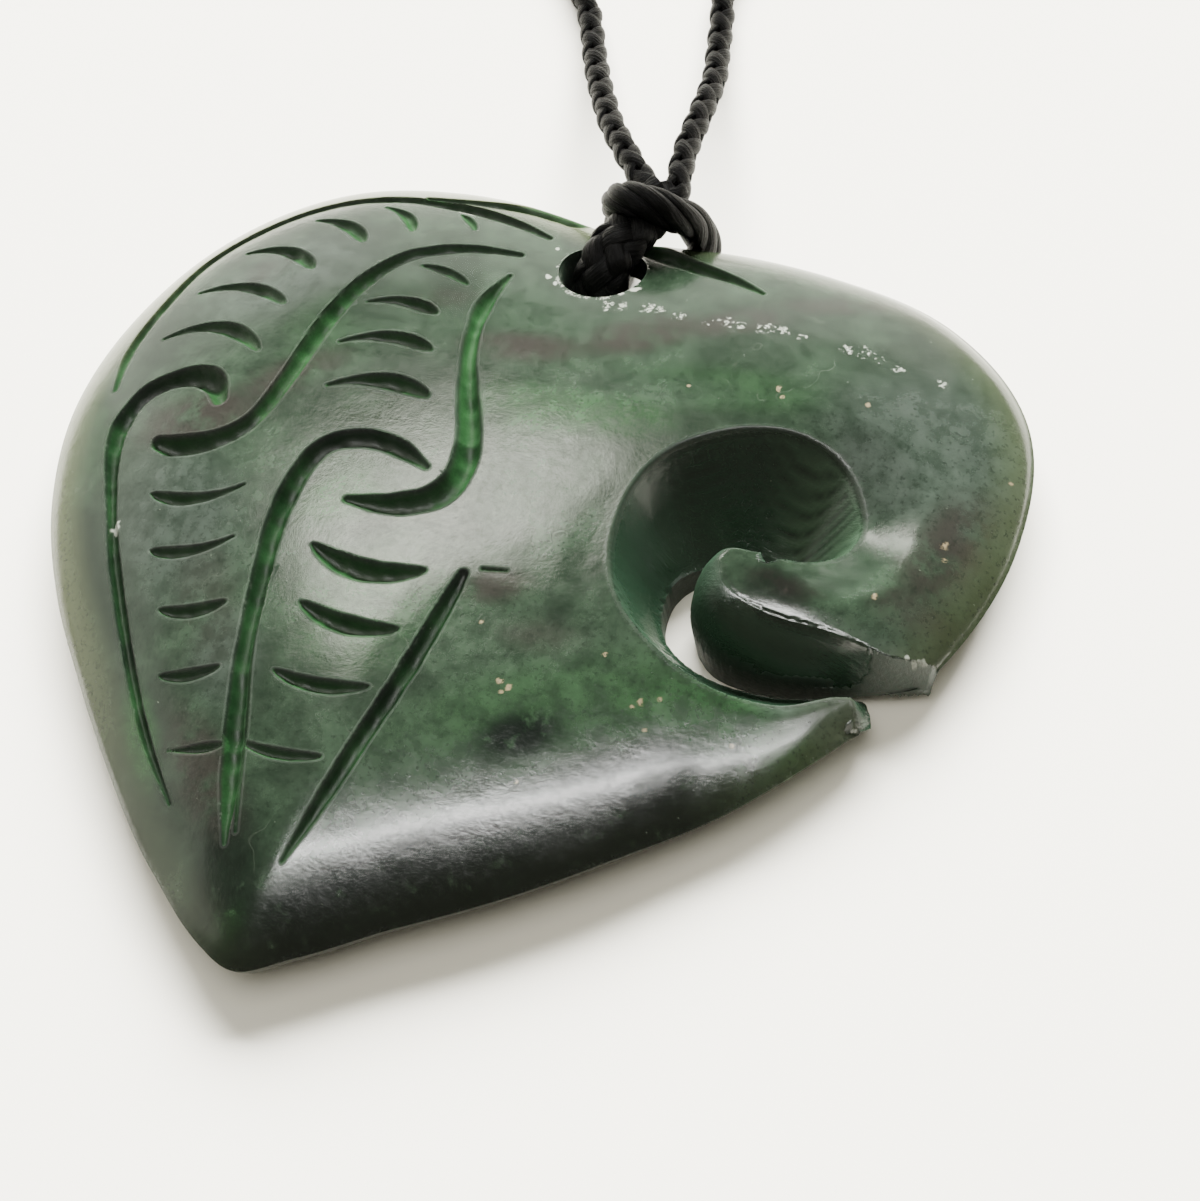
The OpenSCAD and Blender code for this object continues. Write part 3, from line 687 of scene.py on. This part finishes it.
spotTree = treeOf(spotRows)


# size that the faces need near a point, in mm
meshSize = {"open": 0.62, "fine": 0.07, "crest": 0.08, "hole": 0.12, "grid": 84, "over": 1.35, "passes": 4}


def faceSize(x, y):
    fine = meshSize["fine"]
    out, _ = outsideCut(x, y)
    size = min(meshSize["open"], fine + (0.4 * max(0, out - 0.08) if out > 0 else 0.3 * max(0, -out - 0.12)))
    t, _, far, wide = rampAt(x, y)
    if far < 1.5:
        ridge = abs(t - 1) * wide
        size = min(size, 0.3 + 0.25 * far if far > 0.2 else 0.3, fine + 0.45 * ridge)
    u, _, far, wide = headAt(x, y)
    if far < 1.2:
        crest = abs(u - 1) * wide
        size = min(size, 0.2 + 0.3 * far, meshSize["crest"] + max(0.4 * crest, 0.3 * far))
    fromHole = math.hypot(x - stone["holeX"], y - stone["holeY"])
    size = min(size, meshSize["hole"] + 0.5 * abs(fromHole - stone["holeD"] / 2))
    _, i, far = spotTree.find((x, y, 0))
    return min(size, fine + 0.5 * max(0, far - spotRows[i][2] - 0.1))


def refine(bm):
    for _ in range(meshSize["passes"]):
        edges = set()
        for face in bm.faces:
            c = face.calc_center_median()
            long = max(e.calc_length() for e in face.edges)
            if long > meshSize["over"] * faceSize(c.x, c.y):
                edges.update(face.edges)
        if not edges:
            break
        bmesh.ops.subdivide_edges(bm, edges=list(edges), cuts=1, use_grid_fill=True)


def boundary(bm):
    return [e for e in bm.edges if e.is_boundary]


# loop round the open edge, each new vertex moved by a function of the old one's place
def grow(bm, place):
    edges = boundary(bm)
    made = bmesh.ops.extrude_edge_only(bm, edges=edges)["geom"]
    for v in [g for g in made if isinstance(g, bmesh.types.BMVert)]:
        v.co = place(v.co)


def toShare(co, share, z=0.0):
    radius = rimRadius(bearingOf(co.x, co.y)) * share
    long = math.hypot(co.x, co.y)
    return Vector((co.x / long * radius, co.y / long * radius, z))


# shares of the radius at which loops are laid round the front, the edge and the back
loops = {"inner": 0.93, "front": (0.945, 0.958, 0.969, 0.978, 0.986, 0.992, 0.9965),
         "back": (0.967, 0.94, 0.89, 0.82, 0.73, 0.64)}
# steps down the edge: how far in, and share of the way from the front to the foot
edgeSteps = ((0.0, 0.06), (0.07, 0.16), (0.25, 0.4), (0.45, 0.65), (0.65, 0.85))


def frontMesh():
    bm = bmesh.new()
    bmesh.ops.create_grid(bm, x_segments=meshSize["grid"], y_segments=meshSize["grid"], size=1)
    for v in bm.verts:
        u, w = v.co.x, v.co.y
        x, y = u * math.sqrt(1 - w * w / 2), w * math.sqrt(1 - u * u / 2)
        share = math.hypot(x, y)
        if share > 1e-6:
            radius = rimRadius(bearingOf(x, y)) * loops["inner"]
            v.co = (x * radius, y * radius, 0)
    for share in loops["front"]:
        grow(bm, lambda co: toShare(co, share))
    refine(bm)
    for v in bm.verts:
        x, y = v.co.x, v.co.y
        z = domeZ(x, y) - cutDepth(x, y)[0]
        v.co.z = scrollZ(x, y, z)
    return bm


# the edge is turned over by a small radius, then the back runs in to its flat spot
def closeStone(bm):
    def edgeStep(inset, drop):
        def place(co):
            bearing = bearingOf(co.x, co.y)
            share = 1 - inset / rimRadius(bearing)
            foot = stone["rimFoot"] + rimLift(bearing)
            new = toShare(co, share)
            new.z = co.z + (foot - co.z) * drop
            return new
        return place

    def backStep(share):
        return lambda co: toShare(co, share, backZ(share, bearingOf(co.x, co.y)))

    for inset, drop in edgeSteps:
        grow(bm, edgeStep(inset, drop))
    for share in (*loops["back"], stone["rest"]):
        grow(bm, backStep(share))
    bmesh.ops.contextual_create(bm, geom=boundary(bm))
    bmesh.ops.recalc_face_normals(bm, faces=bm.faces)


def fromBmesh(name, bm, material=None):
    bmesh.ops.scale(bm, vec=(mm, mm, mm), verts=bm.verts)
    mesh = bpy.data.meshes.new(name)
    bm.to_mesh(mesh)
    bm.free()
    if material:
        mesh.materials.append(material)
    obj = bpy.data.objects.new(name, mesh)
    bpy.context.scene.collection.objects.link(obj)
    return obj


# prism standing through the stone, from a closed run of x y
def prism(bm, outline, low, high):
    ring = [bm.verts.new((x, y, low)) for x, y in outline]
    face = bm.faces.new(ring)
    made = bmesh.ops.extrude_face_region(bm, geom=[face])["geom"]
    for v in [g for g in made if isinstance(g, bmesh.types.BMVert)]:
        v.co.z = high


# the slit, the hole, and the seat in which the cord runs from the hole over the top edge
openings = {"low": -2, "high": 12, "perRow": 14, "uneven": 0.03, "holeSides": 72}
cordSeat = {"high": 2.16, "radius": 1.25, "sides": 24,
            "corners": ((-0.6, 18.5), (1.4, 18.5), (-2.0, 25), (4.6, 25))}


def slitOutline():
    lips = smoothRows(rampRows, openings["perRow"])
    walls = smoothRows(headRows, openings["perRow"])
    outline = [(r[2], r[3]) for r in lips[:-1]] + [(r[0], r[1]) for r in reversed(walls)]
    return [(x + openings["uneven"] * wobble(x, y, 0.5), y + openings["uneven"] * wobble(x, y, 0.5, 3))
            for x, y in outline]


def holeOutline():
    radius = stone["holeD"] / 2
    angles = (2 * math.pi * k / openings["holeSides"] for k in range(openings["holeSides"]))
    return [(stone["holeX"] + radius * math.cos(a) * (1 + 0.012 * math.sin(3 * a)),
             stone["holeY"] + radius * math.sin(a) * (1 + 0.015 * math.cos(2 * a))) for a in angles]


def cutters():
    slit, hole, seat = bmesh.new(), bmesh.new(), bmesh.new()
    prism(slit, slitOutline(), openings["low"], openings["high"])
    prism(hole, holeOutline(), openings["low"], openings["high"])
    for x, y in cordSeat["corners"]:
        for k in range(cordSeat["sides"]):
            a = 2 * math.pi * k / cordSeat["sides"]
            for z in (openings["low"], cordSeat["high"]):
                seat.verts.new((x + cordSeat["radius"] * math.cos(a), y + cordSeat["radius"] * math.sin(a), z))
    hull = bmesh.ops.convex_hull(seat, input=seat.verts)
    inner = {g for g in hull["geom_interior"] + hull["geom_unused"] if isinstance(g, bmesh.types.BMVert)}
    bmesh.ops.delete(seat, geom=list(inner), context="VERTS")
    made = []
    for name, bm in (("slitCutter", slit), ("holeCutter", hole), ("seatCutter", seat)):
        bmesh.ops.recalc_face_normals(bm, faces=bm.faces)
        if bm.calc_volume(signed=True) < 0:
            bmesh.ops.reverse_faces(bm, faces=bm.faces)
        made.append(fromBmesh(name, bm))
    return made


def cutStone(obj):
    tools = cutters()
    for tool in tools:
        modifier = obj.modifiers.new(tool.name, "BOOLEAN")
        modifier.object = tool
        modifier.operation = "DIFFERENCE"
        modifier.solver = "MANIFOLD"
    depsgraph = bpy.context.evaluated_depsgraph_get()
    mesh = bpy.data.meshes.new_from_object(obj.evaluated_get(depsgraph))
    obj.modifiers.clear()
    old = obj.data
    obj.data = mesh
    bpy.data.meshes.remove(old)
    for tool in tools:
        bpy.data.objects.remove(tool)
    mesh.name = obj.name


# patches of tone: x, y, long and short radius, turn in degrees, strength; the grey ones on the right side are
# painted light
plumPatches = [(-19.5, -0.8, 5, 2.4, 25, 0.85), (-14.9, 3.7, 4.5, 1.7, 40, 0.7), (-1, 10.2, 4.5, 1.4, 12, 0.9),
               (5.5, 13.6, 4.2, 1.8, 35, 0.95), (10.5, 16.6, 4, 1.3, 35, 0.7), (16, 21, 5.5, 1.1, 28, 0.55),
               (28.5, 5.5, 5, 2.4, 80, 0.8), (27.8, 1, 2.6, 1.6, 0, 0.6), (20.8, -0.7, 2.3, 0.8, 5, 1.0),
               (5, -6.9, 2.4, 1.3, 20, 0.8), (-6.5, -23.5, 6, 2.1, -40, 0.75), (-12, -13, 6, 2.4, -55, 0.35),
               (9, -9, 3, 1.2, 10, 0.4), (-22, 12, 3, 1.4, 60, 0.4), (-8, 12.5, 3, 1.2, 20, 0.35)]
darkPatches = [(10.3, -15.1, 3.2, 1.7, 35, 1.0), (-2.5, -28.5, 3, 4.5, 20, 0.8), (14, -19, 4, 0.9, 38, 0.6),
               (12, -9.5, 2, 0.8, 20, 0.35), (20.8, -0.8, 2.9, 1.2, 5, 0.6)]
vividPatches = [(-12.3, -21.8, 4, 1.3, -51, 1.0), (-6.8, -4, 3.4, 2.2, 40, 0.8), (4, 6.5, 7, 2.2, 12, 0.9),
                (-2, -10.5, 5, 5, 0, 0.6), (12, -12.5, 11, 3.2, 32, 0.55), (12, 11, 7, 2, 15, 0.5),
                (-15, 8, 3, 4, 20, 0.3), (20, -10, 8, 2.6, 15, 1.0), (-27, -4, 2.5, 6, 10, 0.35),
                (-1.2, -31, 1.2, 1.6, 0, 0.9)]
greyPatches = [(-17, -8, 8, 5, -50, 1.0), (-9, -16, 4, 2.6, -60, 0.8), (8, 9.5, 7, 1.4, 15, 0.3),
               (25, 11, 7, 7, 0, 1.0), (29, -3, 4, 3, 0, 0.5), (25, -6.8, 4.5, 2.4, 0, 1.0),
               (-20, 12, 7, 4, 45, 0.8)]


def patchValue(patches, x, y):
    value = 0
    for px, py, long, short, turn, strength in patches:
        c, s = math.cos(math.radians(turn)), math.sin(math.radians(turn))
        u, w = ((x - px) * c + (y - py) * s) / long, ((y - py) * c - (x - px) * s) / short
        value = max(value, strength * fade(1.25 - math.hypot(u, w), 0, 0.9))
    return value


def spotValue(spots, x, y):
    if spotTree.find((x, y, 0))[2] > 0.9:
        return 0
    bend = 0.9 * wobble(x, y, 0.3, 9)
    return max(fade(math.hypot(x - sx, y - sy), r * (1.2 + bend), r * (0.8 + bend)) for sx, sy, r in spots)


# steep faces of the slit and the hole
def wallShares(mesh):
    wall = [0.0] * len(mesh.vertices)
    for face in mesh.polygons:
        if abs(face.normal.z) < 0.3:
            c = face.center / mm
            if insetAt(c.x, c.y) > 0.3:
                for i in face.vertices:
                    wall[i] = 1.0
    return wall


# stretches of the rim with painted light (pale) and painted shade (dark): bearing, where the fade ends and
# begins, strength
rimTones = {"left": (160, 90, 50, 0.7), "right": (15, 45, 25, 0.1), "all": 0.2, "dark": (298, 42, 22, 1.0)}
# where painted shade darkens the deep eye of the scroll: x, y, and the distances where it starts and is full
eyePlace = {"x": 16.6, "y": 1.2, "none": 3.2, "full": 1.4}


def rimTone(name, bearing):
    middle, none, full, strength = rimTones[name]
    return strength * fade(turnedFrom(bearing, middle), none, full)


# vertex colours: tone holds plum, pale (painted light on the rim), dark (patches of tone and painted shade)
# and chalk, carve holds groove, lip, scroll and rough, spot holds chip, tan, vivid green (with painted light
# on the ramp) and grey (partly painted light)
def paintStone(mesh):
    tone = mesh.color_attributes.new("tone", "FLOAT_COLOR", "POINT")
    carve = mesh.color_attributes.new("carve", "FLOAT_COLOR", "POINT")
    spot = mesh.color_attributes.new("spot", "FLOAT_COLOR", "POINT")
    wall = wallShares(mesh)
    for i, v in enumerate(mesh.vertices):
        x, y, z = v.co / mm
        bearing, inset = bearingOf(x, y), insetAt(x, y)
        # how much of the point belongs to the ramp, to the inner head's slope and to the scroll
        t, rampRow, rampFar, rampWide = rampAt(x, y)
        u, headRow, headFar, _ = headAt(x, y)
        rampRow, headRow = rampRow / perRow, headRow / perRow
        inRamp = fade(rampFar, 0.4, 0.05) * fade(t, 1.02, 0.94)
        inHead = fade(headFar, 0.4, 0.05) * fade(u, 1.0, 0.75)
        inScroll = max(inRamp, inHead, wall[i])
        # cuts, as far as the point is on the front and not on the back under them
        depth, cut = cutDepth(x, y)
        out, shade = outsideCut(x, y)
        front = z > domeZ(x, y) - depth - 0.25

        # painted shade on the lower right band, the side turned away from the light
        shadedLowerRight = rimTone("dark", bearing)
        # painted shade deep in the eye of the scroll
        fromEye = math.hypot(x - eyePlace["x"], (y - eyePlace["y"]) * 1.2)
        eyeShade = fade(fromEye, eyePlace["none"], eyePlace["full"])
        # dark: patches of tone, and painted shade on the lower right band, low in the scroll and its walls,
        # round the eye, on the ramp's left side, on the inner head's slope by the mouth and in the darker cuts
        dark = max(patchValue(darkPatches, x, y), shadedLowerRight * fade(inset, 5.8, 4.0),
                   inScroll * max(fade(z, 1.9, 0.8), eyeShade), 0.9 * inRamp * fade(rampRow, 10.6, 8.6),
                   0.85 * inHead * fade(headRow, 4.2, 2.6), shade if front and out < 0 else 0)
        # pale: painted light within a few mm of the rim, strongest on the left, kept off the lower right band
        # and the scroll
        side = max(rimTone("left", bearing), rimTone("right", bearing)) + rimTones["all"]
        pale = fade(inset, 3.4, 0.1) * side * (1 - 0.8 * shadedLowerRight) * (1 - inScroll)
        chalk = spotValue(chalkRows, x, y) if z > 3 else 0
        if y < stone["holeY"] - 0.6 and z > 5:
            chalk = max(chalk, fade(math.hypot(x - stone["holeX"], y - stone["holeY"]), 3.15, 2.95))
        tone.data[i].color = (patchValue(plumPatches, x, y), pale, dark, chalk)

        ridge = 0.6 * fade(abs(t - 1) * rampWide, 0.3, 0.05) * fade(rampFar, 0.5, 0.2)
        rough = max(wall[i], inHead * fade(headRow, 5.5, 8), 0.2 * fade(inset, 0.4, 0.05), ridge)
        carve.data[i].color = (fade(cut, 0.02, 0.5) if front else 0,
                               fade(abs(out), 0.2, 0.02) if front else 0, inScroll, rough)

        # vivid green patches of tone, and painted light on the ramp's top and right walls
        vivid = max(patchValue(vividPatches, x, y) * (1 - inScroll), inRamp * fade(rampRow, 10.2, 12))
        spot.data[i].color = (spotValue(chipRows, x, y) if z > 2.8 else 0,
                              spotValue(tanRows, x, y) if front else 0, vivid, patchValue(greyPatches, x, y))


def makeStone():
    bm = frontMesh()
    closeStone(bm)
    obj = fromBmesh("stoneHeart", bm, stoneMaterial)
    print("stone before cutting", len(obj.data.polygons))
    cutStone(obj)
    mesh = obj.data
    paintStone(mesh)
    mesh.shade_smooth()
    mesh.set_sharp_from_angle(angle=math.radians(stone["sharp"]))
    own(obj, "stone")
    mesh.calc_loop_triangles()
    print("stone made, triangles", len(mesh.loop_triangles))


makeStone()

# the cord: routes as it lies, and the shape of its plait
cordZ = 0.97
leftRoute = [(0.42, 25.03, 6.1), (0.42, 25.8, 6.1), (-0.9, 26.9, 6.0), (-3.0, 29.1, 5.5),
             (-5.5, 32.0, 4.5), (-8.3, 36.0, 3.1), (-10.2, 39.0, 2.1), (-12.5, 42.9, 1.25),
             (-14.6, 45.9, cordZ), (-22, 54, cordZ), (-34, 63, cordZ), (-58, 84, cordZ),
             (-87, 109, cordZ), (-113, 135, cordZ), (-137, 163, cordZ), (-151, 192, cordZ),
             (-155, 221, cordZ), (-148, 243, cordZ), (-139.5, 256, 1.1), (-132.5, 263.0, 1.85),
             (-126.3, 266.9, 2.5), (-123.6, 268.2, 2.5)]
rightRoute = [(2.46, 25.03, 6.1), (2.46, 25.8, 6.1), (2.0, 27.3, 6.0), (1.1, 30.3, 5.3),
              (0.2, 34.5, 4.2), (-1.0, 39.2, 2.6), (-2.2, 42.4, 1.7), (-3.5, 46.0, 1.1),
              (-4.8, 50.0, cordZ), (-6.6, 62, cordZ), (-7.6, 76, cordZ), (-8, 108, cordZ),
              (-9, 146, cordZ), (-13, 183, cordZ), (-20, 218, cordZ), (-33, 248, cordZ),
              (-54, 269, cordZ), (-77, 278, cordZ), (-92, 279.5, 1.1), (-100.5, 278.2, 1.85),
              (-107.2, 276.0, 2.5), (-109.9, 274.7, 2.5)]
lugLeft = [(0.45, 25.6, 6.1), (0.42, 25.0, 6.1), (0.1, 22.7, 6.1), (-0.4, 20.7, 6.15), (-0.8, 19.0, 5.6),
           (-0.9, 17.9, 4.1), (-0.9, 17.8, 2.4), (-0.9, 19.0, 1.2), (-1.0, 20.2, 1.1)]
lugRight = [(2.44, 25.6, 6.1), (2.46, 25.0, 6.1), (2.07, 22.7, 6.1), (1.57, 20.7, 6.15), (1.17, 19.0, 5.6),
            (1.07, 17.9, 4.1), (1.07, 17.8, 2.4), (1.3, 19.0, 1.2), (1.6, 20.2, 1.1)]
bight = [(-1.0, 20.2, 1.1), (-1.3, 22.5, 1.02), (-1.5, 24.4, 1.05), (-1.7, 25.0, 2.4),
         (-1.5, 24.8, 4.3), (-0.8, 23.9, 6.3), (0.4, 23.3, 7.5), (2.0, 23.3, 7.5), (3.3, 23.7, 6.5),
         (4.0, 24.6, 4.9), (4.2, 25.0, 2.6), (4.0, 24.6, 1.1), (3.6, 22.8, 1.02), (1.6, 20.2, 1.1)]
plait = {"radius": 0.93, "turn": 4.9, "sides": 10, "nearStep": 0.17, "farStep": 0.42, "near": 70}


# evenly spaced points along a smoothed route, closer together over its first stretch
def evenPoints(rows, nearStep, farStep, near):
    dense = [Vector(p) for p in smoothRows(rows, 24)]
    points = [dense[0]]
    run = gone = 0.0
    for a, b in zip(dense, dense[1:]):
        long = (b - a).length
        while long > 0 and run + long >= (nearStep if gone < near else farStep):
            step = nearStep if gone < near else farStep
            a = a + (b - a) * ((step - run) / long)
            long = (b - a).length
            gone += step
            run = 0.0
            points.append(a)
        run += long
    points.append(dense[-1])
    return points


def direction(points, i):
    return (points[min(i + 1, len(points) - 1)] - points[max(i - 1, 0)]).normalized()


# place, direction, side and up at each point of a route, from the side of the point before
def framesAlong(points, sideAt):
    frames = []
    side = None
    for i, p in enumerate(points):
        along = direction(points, i)
        side = sideAt(i, side)
        side = (side - along * side.dot(along)).normalized()
        frames.append((p, along, side, along.cross(side)))
    return frames


# frames that follow a route without twisting
def carried(points):
    first = (points[1] - points[0]).normalized()
    side = first.cross(Vector((0, 0, 1)))
    if side.length < 0.1:
        side = first.cross(Vector((1, 0, 0)))
    side.normalize()
    return framesAlong(points, lambda i, before: before or side)


# tube with an oval section; outward gives the direction of its flat side at every point
def sweep(vertices, faces, uvs, points, outward, wide, thick, sides, start=0.0):
    base = len(vertices)
    run = start
    for i, p in enumerate(points):
        along = direction(points, i)
        out = (outward[i] - along * outward[i].dot(along)).normalized()
        over = along.cross(out)
        if i:
            run += (p - points[i - 1]).length
        for k in range(sides):
            a = 2 * math.pi * k / sides
            q = p + over * (wide * math.cos(a)) + out * (thick * math.sin(a))
            vertices.append(q)
            uvs.append((abs(2 * k / sides - 1), run))
    last = base + (len(points) - 1) * sides
    for i in range(len(points) - 1):
        for k in range(sides):
            a, b = base + i * sides + k, base + i * sides + (k + 1) % sides
            faces.append((a, b, b + sides, a + sides))
    faces.append([base + k for k in reversed(range(sides))])
    faces.append([last + k for k in range(sides)])


# strands plaited round a route: half of them run each way and pass over and under in turn.
# across gives the section's two half widths at every point, and the route's frames may be given
def plaitStrands(mesh, points, across, turn, sides, count=2, phase=0.0, frames=None, flat=(0.62, 0.34, 0.1)):
    frames = frames or carried(points)
    wide, thick, over = flat
    runs = [0.0]
    for a, b in zip(points, points[1:]):
        runs.append(runs[-1] + (b - a).length)
    for strand in range(2 * count):
        way = 1 if strand % 2 else -1
        offset = 2 * math.pi * (strand // 2) / count
        line, outward = [], []
        for (p, _, side, up), run in zip(frames, runs):
            uneven = 1 + 0.05 * noise.noise(Vector((run * 0.35, strand * 7.1, phase)))
            place = 2 * math.pi * run / turn + phase
            angle = way * place + offset
            lift = 1 - thick + over * way * math.cos(count * place) - over
            out = side * (math.cos(angle) * across[1]) + up * (math.sin(angle) * across[0])
            line.append(p + (side * (math.cos(angle) * across[0]) + up * (math.sin(angle) * across[1]))
                        * (uneven * lift))
            outward.append(out.normalized())
        sweep(*mesh, line, outward, across[1] * wide, across[1] * thick, sides, strand * 3.7)


def makeStrand(name, node, rows, phase):
    vertices, faces, uvs = [], [], []
    points = evenPoints(rows, plait["nearStep"], plait["farStep"], plait["near"])
    plaitStrands((vertices, faces, uvs), points, (plait["radius"], plait["radius"]), plait["turn"],
                 plait["sides"], phase=phase)
    obj = meshObject(name, vertices, faces, cordMaterial, uvs)
    own(obj, node)
    print(name, "faces", len(faces))


makeStrand("cordLeftPlait", "cord_left", leftRoute, 0.4)
makeStrand("cordRightPlait", "cord_right", rightRoute, 1.9)

# the two cords of the lug are worked into one flat fat plait, and the loop over it is a loose twist
hitchShape = {"lugThick": 1.3, "lugTurn": 10.0, "loop": 1.25, "loopTurn": 11.0, "step": 0.12, "sides": 12}


# points at even steps along two routes at once: middles, and half of the way from one to the other
def lugRoute():
    left = [Vector(p) for p in smoothRows(lugLeft, 24)]
    right = [Vector(p) for p in smoothRows(lugRight, 24)]
    middles = [(a + b) / 2 for a, b in zip(left, right)]
    halves = [(b - a) / 2 for a, b in zip(left, right)]
    points, sides = [middles[0]], [halves[0]]
    run = 0.0
    for i in range(1, len(middles)):
        run += (middles[i] - middles[i - 1]).length
        if run >= hitchShape["step"]:
            points.append(middles[i])
            sides.append(halves[i])
            run = 0.0
    return points, sides


def makeHitch():
    mesh = ([], [], [])
    points, halves = lugRoute()
    frames = framesAlong(points, lambda i, before: halves[i].normalized())
    thick = hitchShape["lugThick"]
    plaitStrands(mesh, points, (halves[0].length + thick * 0.95, thick), hitchShape["lugTurn"],
                 hitchShape["sides"], count=4, frames=frames, flat=(0.66, 0.34, 0.11))
    # a plain core closes the gaps between the strands
    sweep(*mesh, points, [f[3] for f in frames], halves[0].length + thick * 0.4, thick * 0.45, 16)
    points = evenPoints(bight, hitchShape["step"], hitchShape["step"], 0)
    frames = carried(points)
    runs = [hitchShape["step"] * k for k in range(len(points))]
    radius = hitchShape["loop"]
    for strand in range(5):
        line, outward = [], []
        for (p, _, side, up), run in zip(frames, runs):
            angle = 2 * math.pi * (run / hitchShape["loopTurn"] + strand / 5)
            out = side * math.cos(angle) + up * math.sin(angle)
            uneven = 0.62 + 0.05 * noise.noise(Vector((run * 0.5, strand * 3.3, 0)))
            line.append(p + out * radius * uneven)
            outward.append(out)
        sweep(*mesh, line, outward, radius * 0.47, radius * 0.36, hitchShape["sides"], strand * 2.9)
    obj = meshObject("hitchPlait", *mesh[:2], cordMaterial, mesh[2])
    own(obj, "hitch")
    print("hitch faces", len(mesh[1]))


makeHitch()

knot = {"x": -116.75, "y": 271.45, "turn": 25.4, "long": 15, "radius": 2.5, "cord": 0.95}


# barrel knot: the cord's ends run through coils of the same cord
def makeKnot():
    vertices, faces, uvs = [], [], []
    c, s = math.cos(math.radians(knot["turn"])), math.sin(math.radians(knot["turn"]))
    along, across, up = Vector((c, s, 0)), Vector((-s, c, 0)), Vector((0, 0, 1))
    middle = Vector((knot["x"], knot["y"], knot["radius"]))
    inside = [middle + along * (knot["long"] * (k / 60 - 0.5)) for k in range(61)]
    plaitStrands((vertices, faces, uvs), inside, (0.8, 0.8), plait["turn"], 8)
    coils, outward = [], []
    wound = knot["long"] - 2 * knot["cord"]
    turns = wound / (2 * knot["cord"])
    for k in range(361):
        t = k / 360
        a = 2 * math.pi * turns * t
        out = across * math.cos(a) + up * math.sin(a)
        outward.append(out)
        coils.append(middle + along * (wound * (t - 0.5)) + out * (knot["radius"] - knot["cord"]))
    sweep(vertices, faces, uvs, coils, outward, knot["cord"], knot["cord"], 12)
    obj = meshObject("joinKnotCoils", vertices, faces, cordMaterial, uvs)
    own(obj, "join_knot")
    print("knot faces", len(faces))


makeKnot()


# plain pale floor
def makeFloor(color=(0.91, 0.888, 0.8), roughness=0.75, reach=1500):
    material = bpy.data.materials.new("pale floor")
    material.use_nodes = True
    shader = material.node_tree.nodes["Principled BSDF"]
    shader.inputs["Base Color"].default_value = (*color, 1)
    shader.inputs["Roughness"].default_value = roughness
    bm = bmesh.new()
    bmesh.ops.create_grid(bm, x_segments=1, y_segments=1, size=reach)
    floor = fromBmesh("floor", bm, material)


makeFloor()

# soft panels that face the stone: place and size in metres, how bright the face is, colour, and a turn.
# window and lamp shine in reflections alone, so that the shadows keep to the one side,
# and daylight and ceiling leave no reflection of their own
room = {"color": (1.0, 0.96, 0.82), "strength": 0.24}
panels = {
    "window": {"place": (-0.442, 0.412, 0.82), "size": (0.36, 0.13), "glow": 22, "color": (1, 1, 0.88),
               "shape": "ELLIPSE", "only": "reflections"},
    "lamp": {"place": (0.22, -0.225, 1.29), "size": (1.2, 0.06), "glow": 88, "color": (1, 1, 0.97),
             "shape": "ELLIPSE", "only": "reflections", "turn": -38},
    "backWall": {"place": (-0.9, 1.4, 0.5), "size": (2.4, 0.9), "glow": 1.7, "color": (1, 1, 0.9)},
    "leftWall": {"place": (-1.5, -0.1, 0.6), "size": (1.6, 0.9), "glow": 1.2, "color": (1, 1, 0.88)},
    "daylight": {"place": (-0.4, 1.5, 0.9), "size": (1.8, 0.8), "glow": 108, "color": (1, 0.995, 0.96),
                 "only": "light"},
    "ceiling": {"place": (0.1, 0.0, 1.6), "size": (1.6, 1.6), "glow": 2.1, "color": (1, 0.96, 0.84),
                "shape": "ELLIPSE", "only": "light"}}


def addPanel(name, look):
    shape = look.get("shape", "RECTANGLE")
    data = bpy.data.lights.new(name, "AREA")
    data.shape = shape
    data.size, data.size_y = look["size"]
    area = data.size * data.size_y * (math.pi / 4 if shape == "ELLIPSE" else 1)
    data.energy = look["glow"] * math.pi * area
    data.color = look["color"]
    light = bpy.data.objects.new(name, data)
    light.location = look["place"]
    light.rotation_euler = (-Vector(look["place"])).to_track_quat("-Z", "Y").to_euler()
    light.rotation_euler.z += math.radians(look.get("turn", 0))
    light.visible_diffuse = look.get("only") != "reflections"
    light.visible_glossy = look.get("only") != "light"
    bpy.context.scene.collection.objects.link(light)


def addLights():
    world = bpy.data.worlds.new("room")
    world.use_nodes = True
    world.node_tree.nodes["Background"].inputs["Color"].default_value = (*room["color"], 1)
    world.node_tree.nodes["Background"].inputs["Strength"].default_value = room["strength"]
    bpy.context.scene.world = world
    for name, look in panels.items():
        addPanel(name, look)


addLights()
print("floor and lights set")

print("scene ready")
